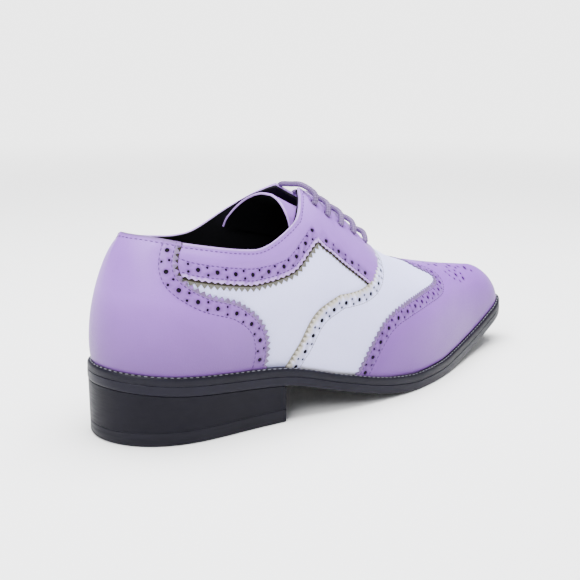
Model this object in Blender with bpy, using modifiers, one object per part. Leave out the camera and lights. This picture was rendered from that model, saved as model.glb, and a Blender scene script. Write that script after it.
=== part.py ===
"""A right oxford in two colours: white quarters and vamp, lavender counter, collar and winged toe.

Heel at -X, toe at +X, outer (lateral) side at -Y, floor at Z = 0. Sizes are in metres.
Every piece of the upper lies on one wall form, which is worked out from the named sizes below.
"""
from math import atan2, cos, pi, radians, sin

import bmesh
import bpy
import numpy as np
from mathutils import Vector
from mathutils.geometry import delaunay_2d_cdt

# Sizes of the sole and heel
SOLE_LENGTH = 0.290
BALL_WIDTH = 0.098
HEEL_HEIGHT = 0.028
TOP_LIFT = 0.007
HEEL_BREAST = 0.086
OUTSOLE_THICKNESS = 0.005
WELT_THICKNESS = 0.004
TOE_SPRING = 0.0195
WELT_REACH = 0.0035
EDGE_ROUND = 0.0008
INSOLE_THICKNESS = 0.003

# Sizes of the upper
INSTEP_RISE = 0.094
SIDE_BULGE = 0.004
LINED_WALL = 0.0016
OVERLAY_LEATHER = 0.0011
COLLAR_LEATHER = 0.0008
TONGUE_THICKNESS = 0.0024
TONGUE_REACH = 0.016

# Sizes of the lacing
LACE_DIAMETER = 0.0032
EYELET_DIAMETER = 0.0042
LACE_LIFT = 0.0042

# Clearances between pieces that meet
SEAT = 0.00035
LEATHER_SEAT = 0.0005
INSOLE_CLEARANCE = 0.0020
TONGUE_CLEARANCE = 0.0010

LATERAL, MEDIAL = -1, 1
BAND = OUTSOLE_THICKNESS + WELT_THICKNESS


def table(columns, *rows):
    """Rows of numbers as one array for each named column."""
    return {name: np.array([row[i] for row in rows], float) for i, name in enumerate(columns.split())}


# Outline of the sole: along as a share of its length, half widths as shares of the ball width
PLAN = table(
    "along lateral medial",
    (0.012, 0.158, 0.122), (0.045, 0.282, 0.226), (0.100, 0.370, 0.300), (0.200, 0.408, 0.345),
    (0.300, 0.430, 0.335), (0.420, 0.486, 0.300), (0.520, 0.504, 0.350), (0.600, 0.486, 0.430),
    (0.670, 0.436, 0.470), (0.760, 0.335, 0.430), (0.850, 0.228, 0.325), (0.930, 0.148, 0.215),
    (0.980, 0.080, 0.118))

# Underside: along, share of the heel height, share of the toe spring
UNDERSIDE = table(
    "along heel toe",
    (0.00, 1.000, 0), (0.10, 0.875, 0), (0.20, 0.785, 0), (0.30, 0.685, 0), (0.42, 0.360, 0),
    (0.54, 0.075, 0), (0.61, 0, 0), (0.69, 0, 0), (0.76, 0, 0.09), (0.85, 0, 0.30), (0.93, 0, 0.64),
    (1.00, 0, 1.00))

# Collar from the heel to the facing's top corner. Station runs along the sole's edge from heel to toe,
# along is a share of the sole length, half of the ball width, rise of the instep rise
COLLAR = table(
    "station along half rise",
    (0.00, 0.066, 0.000, 0.690), (0.03, 0.071, 0.055, 0.690), (0.06, 0.083, 0.115, 0.690),
    (0.10, 0.106, 0.185, 0.683), (0.14, 0.138, 0.255, 0.669), (0.24, 0.252, 0.345, 0.640),
    (0.33, 0.353, 0.290, 0.806), (0.40, 0.390, 0.180, 0.940), (0.44, 0.4055, 0.105, 1.000))

# Facing edge down to the throat, then the ridge of the vamp to the toe
RIDGE = table(
    "station along half rise",
    (0.44, 0.4055, 0.105, 1.000), (0.52, 0.495, 0.066, 0.905), (0.57, 0.540, 0.038, 0.800),
    (0.60, 0.570, 0.000, 0.745), (0.66, 0.632, 0.000, 0.632), (0.72, 0.680, 0.000, 0.580),
    (0.80, 0.724, 0.000, 0.535), (0.90, 0.803, 0.000, 0.455), (1.00, 0.872, 0.000, 0.380))
THROAT = 0.60

# Shape of the wall between the sole and the top: bulge as a share of the side bulge,
# the arc that it turns through in degrees, and how full it is
WALL_FORM = table(
    "station bulge arc full",
    (0.00, 0.75, 61, 0.60), (0.20, 1.00, 56, 1.00), (0.45, 0.75, 69, 1.10), (0.60, 0.75, 82, 1.10),
    (0.70, 0.75, 84, 1.10), (1.00, 0.30, 90, 0.75))

# The medial collar lies lower at the ankle: share of the instep rise
MEDIAL_DROP = table(
    "station rise",
    (0.00, 0.000), (0.08, -0.037), (0.20, -0.034), (0.32, 0.016), (0.44, 0.000), (1.00, 0.000))

# The leathers end just above the welt
FOOT = 0.012

# Edges of the leather pieces, as station and rise on the wall
VAMP_EDGE = [
    (0.344, FOOT), (0.348, 0.06), (0.363, 0.15), (0.381, 0.27), (0.412, 0.33), (0.456, 0.375),
    (0.495, 0.43), (0.529, 0.52), (0.551, 0.63), (0.567, 0.74), (0.585, 0.87), (0.608, 1.00)]
WING_EDGE = [
    (0.463, FOOT), (0.476, 0.08), (0.492, 0.16), (0.523, 0.27), (0.571, 0.39), (0.607, 0.47),
    (0.679, 0.58), (0.735, 0.635), (0.766, 0.70), (0.760, 0.76), (0.742, 0.82), (0.725, 0.90),
    (0.715, 1.00)]
COUNTER_EDGE = [
    (0.292, FOOT), (0.295, 0.12), (0.292, 0.21), (0.283, 0.30), (0.266, 0.40), (0.246, 0.48),
    (0.223, 0.54), (0.178, 0.59), (0.145, 0.67), (0.132, 0.74), (0.128, 0.84), (0.131, 1.00)]
COLLAR_EDGE = [
    (0.135, 0.725), (0.160, 0.698), (0.208, 0.682), (0.240, 0.670), (0.270, 0.642), (0.300, 0.605),
    (0.330, 0.582), (0.364, 0.580), (0.392, 0.605), (0.418, 0.660)]
FACING_EDGE = [(0.418, 0.660), (0.465, 0.545), (0.506, 0.470)]
EYELETS = [(0.447, 0.87), (0.466, 0.82), (0.490, 0.79), (0.517, 0.775), (0.549, 0.775)]

# Lines of the wall that every piece shares
STATIONS = [
    0, 0.02, 0.045, 0.07, 0.10, 0.14, 0.18, 0.21, 0.24, 0.27, 0.30, 0.34, 0.38, 0.41, 0.44, 0.48, 0.52, 0.56,
    THROAT, 0.65, 0.70, 0.75, 0.80, 0.85, 0.90, 0.94, 0.965, 0.985, 1.0]
RISES = [0, 0.10, 0.22, 0.34, 0.46, 0.58, 0.70, 0.80, 0.90, 1.0]

LAVENDER = (0.515, 0.376, 0.716)
WHITE = (0.76, 0.78, 0.86)
CHARCOAL = (0.035, 0.033, 0.045)
BLACK = (0.010, 0.010, 0.012)
LACE_LILAC = (0.36, 0.26, 0.44)


def clear_scene():
    for item in list(bpy.data.objects):
        bpy.data.objects.remove(item, do_unlink=True)


def smooth_between(known, values, wanted):
    """Monotone cubic curve through the known points, which never overshoots them."""
    known, values, wanted = (np.asarray(v, float) for v in (known, values, wanted))
    step = np.diff(known)
    slope = np.diff(values) / step
    tangent = np.concatenate([slope[:1], np.zeros(len(slope) - 1), slope[-1:]])
    before, after = 2 * step[1:] + step[:-1], step[1:] + 2 * step[:-1]
    same = slope[1:] * slope[:-1] > 0
    harmonic = before[same] / slope[:-1][same] + after[same] / slope[1:][same]
    tangent[1:-1][same] = (before[same] + after[same]) / harmonic
    wanted = np.clip(wanted, known[0], known[-1])
    i = np.clip(np.searchsorted(known, wanted) - 1, 0, len(step) - 1)
    t = (wanted - known[i]) / step[i]
    cubic = values[i] * (2 * t ** 3 - 3 * t ** 2 + 1) + values[i + 1] * (3 * t ** 2 - 2 * t ** 3)
    return cubic + step[i] * (tangent[i] * (t ** 3 - 2 * t ** 2 + t) + tangent[i + 1] * (t ** 3 - t ** 2))


def column(source, name, station):
    return smooth_between(source["station"], source[name], station)


def closed_curve(points, per_span=24):
    """Smooth closed curve through the points, with an even number of steps in each span."""
    points = np.asarray(points, float)
    count = len(points)
    span = np.linalg.norm(np.roll(points, -1, 0) - points, axis=1)
    matrix = np.zeros((count, count))
    right = np.zeros_like(points)
    for i in range(count):
        last, here, after = span[i - 1], span[i], (i + 1) % count
        matrix[i, i - 1], matrix[i, i], matrix[i, after] = last, 2 * (last + here), here
        right[i] = 6 * ((points[after] - points[i]) / here - (points[i] - points[i - 1]) / last)
    bend = np.linalg.solve(matrix, right)
    pieces = []
    for i in range(count):
        after, here = (i + 1) % count, span[i]
        u = np.linspace(0, 1, per_span, endpoint=False)[:, None] * here
        v = here - u
        pieces.append((bend[i] * v ** 3 + bend[after] * u ** 3) / (6 * here)
                      + (points[i] / here - bend[i] * here / 6) * v
                      + (points[after] / here - bend[after] * here / 6) * u)
    return np.concatenate(pieces)


def sole_sides():
    """The sole's outline as two runs of points from heel to toe, one for each side."""
    along = PLAN["along"] * SOLE_LENGTH
    outer = np.column_stack([along, -PLAN["lateral"] * BALL_WIDTH])
    inner = np.column_stack([along, PLAN["medial"] * BALL_WIDTH])
    loop = np.concatenate([[(0, 0)], outer, [(SOLE_LENGTH, 0)], inner[::-1]])
    curve = closed_curve(loop)
    toe = len(curve) // 2
    return {LATERAL: curve[:toe + 1], MEDIAL: np.concatenate([curve[toe:], curve[:1]])[::-1]}


OUTLINE = sole_sides()
MIDDLE_Y = (OUTLINE[LATERAL][:, 1].min() + OUTLINE[MEDIAL][:, 1].max()) / 2


def outline_at(side, station, inset):
    """Points and outward directions of the sole's outline, set in by a distance."""
    points = OUTLINE[side]
    along = np.gradient(points, axis=0)
    along /= np.linalg.norm(along, axis=1, keepdims=True)
    out = np.column_stack([-along[:, 1], along[:, 0]]) * side
    out[0], out[-1] = (-1, 0), (1, 0)
    edge = points - out * WELT_REACH
    share = np.concatenate([[0], np.cumsum(np.linalg.norm(np.diff(edge, axis=0), axis=1))])
    share /= share[-1]
    place = np.stack([np.interp(station, share, points[:, i]) for i in (0, 1)], -1)
    away = np.stack([np.interp(station, share, out[:, i]) for i in (0, 1)], -1)
    away /= np.linalg.norm(away, axis=-1, keepdims=True)
    return place - away * np.asarray(inset)[..., None], away


def underside(x):
    along = np.asarray(x) / SOLE_LENGTH
    heel = smooth_between(UNDERSIDE["along"], UNDERSIDE["heel"], along)
    toe = smooth_between(UNDERSIDE["along"], UNDERSIDE["toe"], along)
    return heel * HEEL_HEIGHT + toe * TOE_SPRING


def top_at(side, station):
    """Points of the collar, the facing edge and the ridge."""
    front = station > COLLAR["station"][-1]
    along, half, rise = (np.where(front, column(RIDGE, name, station), column(COLLAR, name, station))
                         for name in ("along", "half", "rise"))
    if side == MEDIAL:
        rise = rise + column(MEDIAL_DROP, "rise", station)
    x = along * SOLE_LENGTH
    return np.stack([x, side * half * BALL_WIDTH, underside(x) + BAND + rise * INSTEP_RISE], -1)


def last_point(side, station, rise):
    """The outer face of the finished shoe, before its leathers are counted."""
    foot, away = outline_at(side, station, np.full(np.shape(station), WELT_REACH))
    foot_z = underside(foot[..., 0]) + BAND + SEAT
    top = top_at(side, station)
    arc = np.radians(column(WALL_FORM, "arc", station))
    inward = ((1 - np.cos(arc * rise)) / (1 - np.cos(arc))) ** column(WALL_FORM, "full", station)
    upward = np.sin(arc * rise) / np.sin(arc)
    bulge = np.sin(pi * rise ** 0.75) * column(WALL_FORM, "bulge", station) * SIDE_BULGE
    flat = foot + (top[..., :2] - foot) * inward[..., None] + away * bulge[..., None]
    return np.concatenate([flat, (foot_z + (top[..., 2] - foot_z) * upward)[..., None]], -1)


def leather_depth(station, rise):
    """How far the lined wall lies inside the outer face: one leather, or two below the wing."""
    one = LEATHER_SEAT + 0.75 * OVERLAY_LEATHER
    start = 0.40 + 0.28 * np.sin(0.72 * pi * rise)
    blend = np.clip((station - start) / 0.20, 0, 1)
    return one + (LEATHER_SEAT + OVERLAY_LEATHER) * blend * blend * (3 - 2 * blend)


def wall_point(side, station, rise, out=0.0):
    """A point at a distance out from the lined wall's outer face."""
    station, rise = np.broadcast_arrays(np.asarray(station, float), np.asarray(rise, float))
    step = 0.001
    back, fore = np.clip(station - step, 0, 1), np.clip(station + step, 0, 1)
    low = np.clip(rise - step, 2 * step, 1 - 2 * step)
    across = last_point(side, fore, rise) - last_point(side, back, rise)
    upward = last_point(side, station, low + 2 * step) - last_point(side, station, low)
    normal = np.cross(across, upward) * -side
    point = last_point(side, station, rise)
    for seam, along, turn in ((station <= 0, upward, -1), (station >= 1, upward, 1),
                              ((rise >= 1) & (station >= THROAT), across, -1)):
        in_plane = np.stack([turn * along[..., 2], 0 * along[..., 1], -turn * along[..., 0]], -1)
        normal = np.where(seam[..., None], in_plane, normal)
        point[..., 1] = np.where(seam, 0, point[..., 1])
    normal /= np.linalg.norm(normal, axis=-1, keepdims=True)
    return point + normal * (out - leather_depth(station, rise))[..., None]


def curve_through(rows, steps=2):
    """Points of a smooth curve through the rows, each span in the given number of steps."""
    rows = np.asarray(rows, float)
    padded = np.concatenate([[2 * rows[0] - rows[1]], rows, [2 * rows[-1] - rows[-2]]])
    points = []
    for a, b, c, d in zip(padded, padded[1:], padded[2:], padded[3:]):
        for i in range(steps):
            t = i / steps
            points.append(0.5 * (2 * b + (c - a) * t + (2 * a - 5 * b + 4 * c - d) * t ** 2
                                 + (3 * b - a - 3 * c + d) * t ** 3))
    return [tuple(p) for p in points] + [tuple(rows[-1])]


def material(name, colour, roughness):
    finish = bpy.data.materials.new(name)
    finish.use_nodes = True
    shader = finish.node_tree.nodes["Principled BSDF"]
    shader.inputs["Base Color"].default_value = (*colour, 1)
    shader.inputs["Roughness"].default_value = roughness
    shader.inputs["Metallic"].default_value = 0
    return finish


def add_object(name, mesh, finish, group, base):
    piece = bpy.data.objects.new(name, mesh)
    group.objects.link(piece)
    piece.parent = base
    piece.data.materials.append(finish)
    return piece


def mesh_from(name, points, faces, merge=0.0):
    mesh = bpy.data.meshes.new(name)
    mesh.from_pydata([tuple(p) for p in points], [], faces)
    if merge:
        work = bmesh.new()
        work.from_mesh(mesh)
        bmesh.ops.remove_doubles(work, verts=work.verts, dist=merge)
        work.to_mesh(mesh)
        work.free()
    mesh.shade_smooth()
    return mesh


def thicken(piece, thickness, outward):
    shell = piece.modifiers.new("thickness", "SOLIDIFY")
    shell.thickness = thickness
    shell.offset = 1 if outward else -1
    shell.use_quality_normals = True


def plate(name, rings, ends, across=4, stations=34):
    """A closed plate: rings of the sole's outline from bottom to top, as inset and height functions."""
    spread = 0.5 - 0.5 * np.cos(np.linspace(0, pi, stations + 1))
    even = np.linspace(0, 1, stations + 1)
    share = 0.5 * spread + 0.5 * even
    points, loops = [], []
    for inset, height in rings:
        loop = []
        for side in (LATERAL, MEDIAL):
            station = share * ends[side]
            flat, _ = outline_at(side, station, inset(station))
            flat[0, 1] = 0
            if ends[side] == 1:
                flat[-1, 1] = 0
            loop.append(np.column_stack([flat, height(flat[:, 0])]))
        loops.append(loop)
    closed_toe = ends[LATERAL] == 1
    faces = []

    def row(ring, i):
        """Indices of one row of points from the lateral to the medial edge of a ring."""
        return ring_rows[ring][i]

    ring_rows = []
    last = len(rings) - 1
    for r, (outer, inner) in enumerate(loops):
        rows = []
        for i in range(stations + 1):
            pointed = i == 0 or (closed_toe and i == stations)
            shares = [0.0] if pointed else [0.0, 1.0]
            if r in (0, last) and not pointed:
                shares = np.linspace(0, 1, across + 1)
            indices = []
            for s in shares:
                at = outer[i] * (1 - s) + inner[i] * s
                at[2] = rings[r][1](at[0])
                indices.append(len(points))
                points.append(at)
            rows.append(indices)
        ring_rows.append(rows)
    for r in range(last):
        for i in range(stations):
            for end in (0, -1):
                quad = [row(r, i)[end], row(r, i + 1)[end], row(r + 1, i + 1)[end], row(r + 1, i)[end]]
                faces.append(quad if end == 0 else quad[::-1])
    for r, flip in ((0, True), (last, False)):
        for i in range(stations):
            near, far = row(r, i), row(r, i + 1)
            for k in range(across):
                quad = [near[min(k, len(near) - 1)], far[min(k, len(far) - 1)],
                        far[min(k + 1, len(far) - 1)], near[min(k + 1, len(near) - 1)]]
                quad = [v for j, v in enumerate(quad) if v not in quad[:j]]
                if len(quad) > 2:
                    faces.append(quad[::-1] if flip else quad)
    if not closed_toe:
        front = [row(0, stations)] + [[row(r, stations)[0], row(r, stations)[-1]] for r in range(1, last)]
        front.append(row(last, stations))
        face = front[0] + [pair[-1] for pair in front[1:-1]] + front[-1][::-1]
        face += [pair[0] for pair in front[1:-1]][::-1]
        faces.append(face)
    return mesh_from(name, points, faces)


def at_height(level):
    return lambda x: np.full(np.shape(x), float(level))


def above_underside(level):
    return lambda x: underside(x) + level


def set_in(distance):
    return lambda station: np.full(np.shape(station), float(distance))


def inside_wall(station):
    return WELT_REACH + leather_depth(station, np.zeros_like(station)) + LINED_WALL + INSOLE_CLEARANCE


def breast_stations():
    """How far along each side the heel's flat front lies."""
    station = np.linspace(0, 1, 1001)
    ends = {}
    for side in (LATERAL, MEDIAL):
        edge, _ = outline_at(side, station, np.zeros_like(station))
        ends[side] = float(np.interp(HEEL_BREAST, edge[:, 0], station))
    return ends


def add_sole(group, base, finishes):
    whole = {LATERAL: 1, MEDIAL: 1}
    heel = breast_stations()
    outsole_top = OUTSOLE_THICKNESS - SEAT / 2
    outsole = plate("outsole", [
        (set_in(1.5 * EDGE_ROUND), above_underside(0)),
        (set_in(0), above_underside(1.5 * EDGE_ROUND)),
        (set_in(0), above_underside(outsole_top - EDGE_ROUND)),
        (set_in(EDGE_ROUND), above_underside(outsole_top))], whole)
    welt = plate("welt", [
        (set_in(EDGE_ROUND), above_underside(OUTSOLE_THICKNESS + SEAT / 2)),
        (set_in(0.5 * EDGE_ROUND), above_underside(OUTSOLE_THICKNESS + EDGE_ROUND)),
        (set_in(0.5 * EDGE_ROUND), above_underside(BAND - EDGE_ROUND)),
        (set_in(1.5 * EDGE_ROUND), above_underside(BAND))], whole)
    insole = plate("insole", [
        (inside_wall, above_underside(BAND + SEAT)),
        (inside_wall, above_underside(BAND + SEAT + INSOLE_THICKNESS))], whole, stations=26)
    stack = plate("heel_stack", [
        (set_in(EDGE_ROUND), at_height(TOP_LIFT + SEAT / 2)),
        (set_in(EDGE_ROUND), above_underside(-SEAT))], heel, across=3, stations=18)
    lift = plate("heel_top_lift", [
        (set_in(1.5 * EDGE_ROUND), at_height(0)),
        (set_in(0.5 * EDGE_ROUND), at_height(EDGE_ROUND)),
        (set_in(0.5 * EDGE_ROUND), at_height(TOP_LIFT - SEAT / 2))], heel, across=3, stations=18)
    for mesh, finish in ((outsole, "sole"), (welt, "sole"), (insole, "lining"), (stack, "sole"),
                         (lift, "sole")):
        add_object(mesh.name, mesh, finishes[finish], group, base)


def add_upper(group, base, finish):
    """The lined wall: both sides from one grid of stations and rises, open at the collar and throat."""
    points, faces = [], []
    for side in (LATERAL, MEDIAL):
        first = len(points)
        station, rise = np.meshgrid(STATIONS, RISES, indexing="ij")
        points += list(wall_point(side, station, rise).reshape(-1, 3))
        for i in range(len(STATIONS) - 1):
            for j in range(len(RISES) - 1):
                a = first + i * len(RISES) + j
                quad = [a, a + len(RISES), a + len(RISES) + 1, a + 1]
                faces.append(quad if side == LATERAL else quad[::-1])
    upper = add_object("upper", mesh_from("upper", points, faces, SEAT / 20), finish, group, base)
    thicken(upper, LINED_WALL, outward=False)
    return upper


def encloses(outline, point, margin):
    """Whether a flat point lies inside an outline and at least a margin away from it."""
    ring = np.asarray(outline, float)
    after = np.roll(ring, -1, 0)
    along = after - ring
    share = np.clip(((point - ring) * along).sum(1) / (along ** 2).sum(1), 0, 1)
    if np.linalg.norm(ring + along * share[:, None] - point, axis=1).min() < margin:
        return False
    spans = (ring[:, 1] > point[1]) != (after[:, 1] > point[1])
    crossing = ring[spans, 0] + (point[1] - ring[spans, 1]) * along[spans, 0] / along[spans, 1]
    return (crossing > point[0]).sum() % 2 == 1


def cut_piece(side, outline, out):
    """Points and triangles of a leather cut to an outline of stations and rises on the wall."""
    spread = np.array([SOLE_LENGTH, 0.85 * INSTEP_RISE])
    ring = np.asarray(outline) * spread
    margin = 0.0025
    inside = [np.array((s, r)) * spread for s in STATIONS for r in RISES]
    inside = [p for p in inside if encloses(ring, p, margin)]
    flat = [Vector(p) for p in list(ring) + inside]
    # a line from the toe's corner keeps each triangle there on its own side of the ridge
    tips = [i for i, place in enumerate(outline) if place == (1.0, 1.0)]
    lines = [(i, len(ring) + int(np.argmin([np.linalg.norm(ring[i] - p) for p in inside]))) for i in tips]
    found, _, faces, *_ = delaunay_2d_cdt(flat, lines, [list(range(len(ring)))], 1, 1e-7)
    shares = (np.array([tuple(p) for p in found]) / spread).round(5)
    points = wall_point(side, shares[:, 0], shares[:, 1], out)
    turned = []
    for a, b, c in faces:
        area = (found[b] - found[a]).cross(found[c] - found[a])
        turned.append((a, b, c) if (area > 0) == (side == LATERAL) else (a, c, b))
    return points, turned


def both_sides(name, outline, out):
    """One leather that runs round the heel or the toe, from the same outline on both sides."""
    points, faces = [], []
    for side in (LATERAL, MEDIAL):
        first = len(points)
        found, turned = cut_piece(side, outline, out)
        points += list(found)
        faces += [tuple(first + v for v in face) for face in turned]
    return mesh_from(name, points, faces, SEAT / 20)


def toe_outline(edge):
    """The edge of a leather, closed along the ridge, down the toe and back along the sole."""
    foot, ridge = edge[0][0], edge[-1][0]
    clear = 0.008
    top = [(s, 1.0) for s in STATIONS if s > ridge + clear]
    toe = [(1.0, r) for r in RISES[-2:0:-1]]
    sole = [(s, FOOT) for s in STATIONS[::-1] if s > foot + clear]
    return edge + top + toe + sole


def counter_outline():
    edge = curve_through(COUNTER_EDGE)
    foot, collar = edge[0][0], edge[-1][0]
    clear = 0.008
    top = [(s, 1.0) for s in STATIONS[::-1] if s < collar - clear]
    back = [(0.0, r) for r in RISES[-2:0:-1]]
    sole = [(s, FOOT) for s in STATIONS if s < foot - clear]
    return edge + top + back + sole


def collar_outline():
    """The collar band and the facing: between the counter's edge and the vamp's edge."""
    gap = 0.0035
    rear = [(s + gap, r) for s, r in curve_through(COUNTER_EDGE) if r > COLLAR_EDGE[0][1] + 0.02][::-1]
    front = [(s - gap, r) for s, r in curve_through(VAMP_EDGE) if r > FACING_EDGE[-1][1] + 0.02]
    lower = curve_through(COLLAR_EDGE)[:-1] + curve_through(FACING_EDGE)
    top = [(s, 1.0) for s in STATIONS[::-1] if rear[0][0] + 0.008 < s < front[-1][0] - 0.008]
    return rear + lower + front + top


def add_leathers(group, base, finishes):
    first_layer = LEATHER_SEAT
    second_layer = first_layer + OVERLAY_LEATHER + LEATHER_SEAT
    pieces = {}
    for name, mesh, finish, thickness in (
            ("vamp", both_sides("vamp", toe_outline(curve_through(VAMP_EDGE)), first_layer),
             "white", OVERLAY_LEATHER),
            ("wing_cap", both_sides("wing_cap", toe_outline(curve_through(WING_EDGE)), second_layer),
             "lavender", OVERLAY_LEATHER),
            ("counter", both_sides("counter", counter_outline(), first_layer),
             "lavender", OVERLAY_LEATHER),
            ("collar_lateral", mesh_from("collar_lateral", *cut_piece(LATERAL, collar_outline(), first_layer)),
             "lavender", COLLAR_LEATHER),
            ("collar_medial", mesh_from("collar_medial", *cut_piece(MEDIAL, collar_outline(), first_layer)),
             "lavender", COLLAR_LEATHER)):
        pieces[name] = add_object(name, mesh, finishes[finish], group, base)
        thicken(pieces[name], thickness, outward=True)
    return pieces


def tongue_row(station, reach):
    """One arch of the tongue from its lateral to its medial edge; reach moves it out behind the facings."""
    depth = -(LINED_WALL + TONGUE_CLEARANCE)
    rises = np.array([0.62, 0.70, 0.80, 0.90, 0.98])
    outer = wall_point(LATERAL, station, rises, depth)
    inner = wall_point(MEDIAL, station, rises, depth)
    crown = (outer[-1] + inner[-1]) / 2 + (outer[-1] - outer[-2] + inner[-1] - inner[-2]) * 0.25
    arch = np.concatenate([outer, [crown], inner[::-1]])
    back = np.array([-1.0, 0.0, -0.12]) * reach * TONGUE_REACH
    return arch + back


def add_tongue(group, base, finish):
    corner = COLLAR["station"][-1]
    rows = [tongue_row(corner, reach) for reach in (1.0, 0.66, 0.33)]
    rows += [tongue_row(station, 0) for station in STATIONS if corner <= station <= THROAT]
    points = np.concatenate(rows)
    width = len(rows[0])
    faces = [(i * width + j, (i + 1) * width + j, (i + 1) * width + j + 1, i * width + j + 1)
             for i in range(len(rows) - 1) for j in range(width - 1)]
    tongue = add_object("tongue", mesh_from("tongue", points, faces), finish, group, base)
    thicken(tongue, TONGUE_THICKNESS, outward=False)
    return tongue


def eyelet_frame(side, eyelet):
    """The middle of an eyelet on the facing, and the direction out of it."""
    station, rise = (np.array([value]) for value in eyelet)
    inner = wall_point(side, station, rise, -LINED_WALL)[0]
    outer = wall_point(side, station, rise, LEATHER_SEAT + COLLAR_LEATHER)[0]
    out = (outer - inner) / np.linalg.norm(outer - inner)
    return outer, out


def add_eyelet_cutters(group, base):
    cutters = []
    for side in (LATERAL, MEDIAL):
        for number, eyelet in enumerate(EYELETS, 1):
            middle, out = eyelet_frame(side, eyelet)
            mesh = bpy.data.meshes.new("eyelet_cutter")
            work = bmesh.new()
            bmesh.ops.create_cone(work, cap_ends=True, segments=12, radius1=EYELET_DIAMETER / 2,
                                  radius2=EYELET_DIAMETER / 2, depth=8 * LINED_WALL)
            work.to_mesh(mesh)
            work.free()
            cutter = bpy.data.objects.new(f"eyelet_cutter_{side}_{number}", mesh)
            group.objects.link(cutter)
            cutter.parent = base
            cutter.location = middle
            cutter.rotation_mode = "QUATERNION"
            cutter.rotation_quaternion = Vector(out).to_track_quat("Z", "Y")
            cutter.hide_render = True
            cutter.display_type = "WIRE"
            cutters.append(cutter)
    return cutters


def punch(piece, group):
    hole = piece.modifiers.new("eyelets", "BOOLEAN")
    hole.operation = "DIFFERENCE"
    hole.operand_type = "COLLECTION"
    hole.collection = group
    hole.solver = "EXACT"


def add_laces(group, base, finish):
    """Five bars, each over the throat from one eyelet to the one across."""
    for number, eyelet in enumerate(EYELETS, 1):
        ends = {side: eyelet_frame(side, eyelet) for side in (LATERAL, MEDIAL)}
        edges = {side: wall_point(side, np.array([eyelet[0] + 0.012]), np.array([1.0]), SEAT)[0]
                 for side in (LATERAL, MEDIAL)}
        rise = np.array([0.35, 0, 0.94]) * LACE_LIFT
        half = []
        for side in (LATERAL, MEDIAL):
            middle, out = ends[side]
            half.append([middle - out * LINED_WALL, middle + out * 0.4 * LACE_DIAMETER,
                         middle * 0.72 + edges[side] * 0.28 + out * LACE_LIFT * 0.75,
                         edges[side] + rise])
        route = half[0] + [(edges[LATERAL] + edges[MEDIAL]) / 2 + rise * 1.15] + half[1][::-1]
        route = curve_through(route, steps=2)
        name = f"lace_bar_{number}"
        curve = bpy.data.curves.new(name, "CURVE")
        curve.dimensions = "3D"
        curve.bevel_depth = LACE_DIAMETER / 2
        curve.bevel_resolution = 2
        curve.use_fill_caps = True
        line = curve.splines.new("POLY")
        line.points.add(len(route) - 1)
        for point, at in zip(line.points, route):
            point.co = (*at, 1)
        bar = bpy.data.objects.new(name, curve)
        group.objects.link(bar)
        bar.parent = base
        bar.data.materials.append(finish)


def build():
    clear_scene()
    shoe = bpy.data.collections.new("spectator_oxford")
    cutters = bpy.data.collections.new("cutters")
    for group in (shoe, cutters):
        bpy.context.scene.collection.children.link(group)
    base = bpy.data.objects.new("shoe_base", None)
    base.location = (-SOLE_LENGTH / 2, -MIDDLE_Y, 0)
    shoe.objects.link(base)
    finishes = {
        "lavender": material("lavender leather", LAVENDER, 0.35),
        "white": material("white leather", WHITE, 0.38),
        "sole": material("charcoal sole", CHARCOAL, 0.45),
        "lining": material("black lining", BLACK, 0.8),
        "lace": material("lilac lace", LACE_LILAC, 0.7),
    }
    add_sole(shoe, base, finishes)
    upper = add_upper(shoe, base, finishes["white"])
    leathers = add_leathers(shoe, base, finishes)
    add_tongue(shoe, base, finishes["lavender"])
    add_eyelet_cutters(cutters, base)
    for piece in (upper, leathers["collar_lateral"], leathers["collar_medial"]):
        punch(piece, cutters)
    add_laces(shoe, base, finishes["lace"])


build()
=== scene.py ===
from math import cos, pi, radians, sin

import bpy
import numpy as np
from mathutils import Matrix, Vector
from mathutils.geometry import delaunay_2d_cdt
from mathutils.kdtree import KDTree


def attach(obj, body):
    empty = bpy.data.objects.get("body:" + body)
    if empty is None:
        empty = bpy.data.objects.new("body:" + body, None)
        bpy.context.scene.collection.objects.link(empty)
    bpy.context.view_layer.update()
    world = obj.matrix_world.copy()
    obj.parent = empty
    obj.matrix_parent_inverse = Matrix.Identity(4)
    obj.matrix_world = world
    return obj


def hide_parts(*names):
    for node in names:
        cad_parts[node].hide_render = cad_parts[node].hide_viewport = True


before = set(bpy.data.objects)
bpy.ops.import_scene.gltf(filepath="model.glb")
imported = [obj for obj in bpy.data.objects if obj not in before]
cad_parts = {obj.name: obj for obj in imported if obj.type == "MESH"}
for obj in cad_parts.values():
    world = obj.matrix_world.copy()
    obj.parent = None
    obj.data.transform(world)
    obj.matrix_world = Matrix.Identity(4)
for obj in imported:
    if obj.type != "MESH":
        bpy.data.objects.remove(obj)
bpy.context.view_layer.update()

lateral, medial = -1, 1
mm = 0.001


# Form of the shoe
def table(columns, *rows):
    return {name: np.array([row[i] for row in rows], float) for i, name in enumerate(columns.split())}


shoe = dict(
    length=0.290, ball=0.098, heel=0.028, topLift=0.007, heelBreast=0.086, outsole=0.005, welt=0.004,
    toeSpring=0.0195, weltReach=0.0035, instepRise=0.094, sideBulge=0.004, wall=0.0016, throat=0.60,
    # how much one leather and the wing's second leather add on the wall, and where the second begins:
    # its station at the foot, how far that moves with the rise, and how long the step is
    oneLeather=0.001325, wingLeather=0.0016, wingStart=0.40, wingMove=0.28, wingTurn=0.72, wingStep=0.20,
    # the bulge's greatest width lies low on the side
    bulgeLow=0.75,
    # the leathers stand this far into the welt, so that no gap shows
    sink=0.0004)
band = shoe["outsole"] + shoe["welt"]

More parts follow.
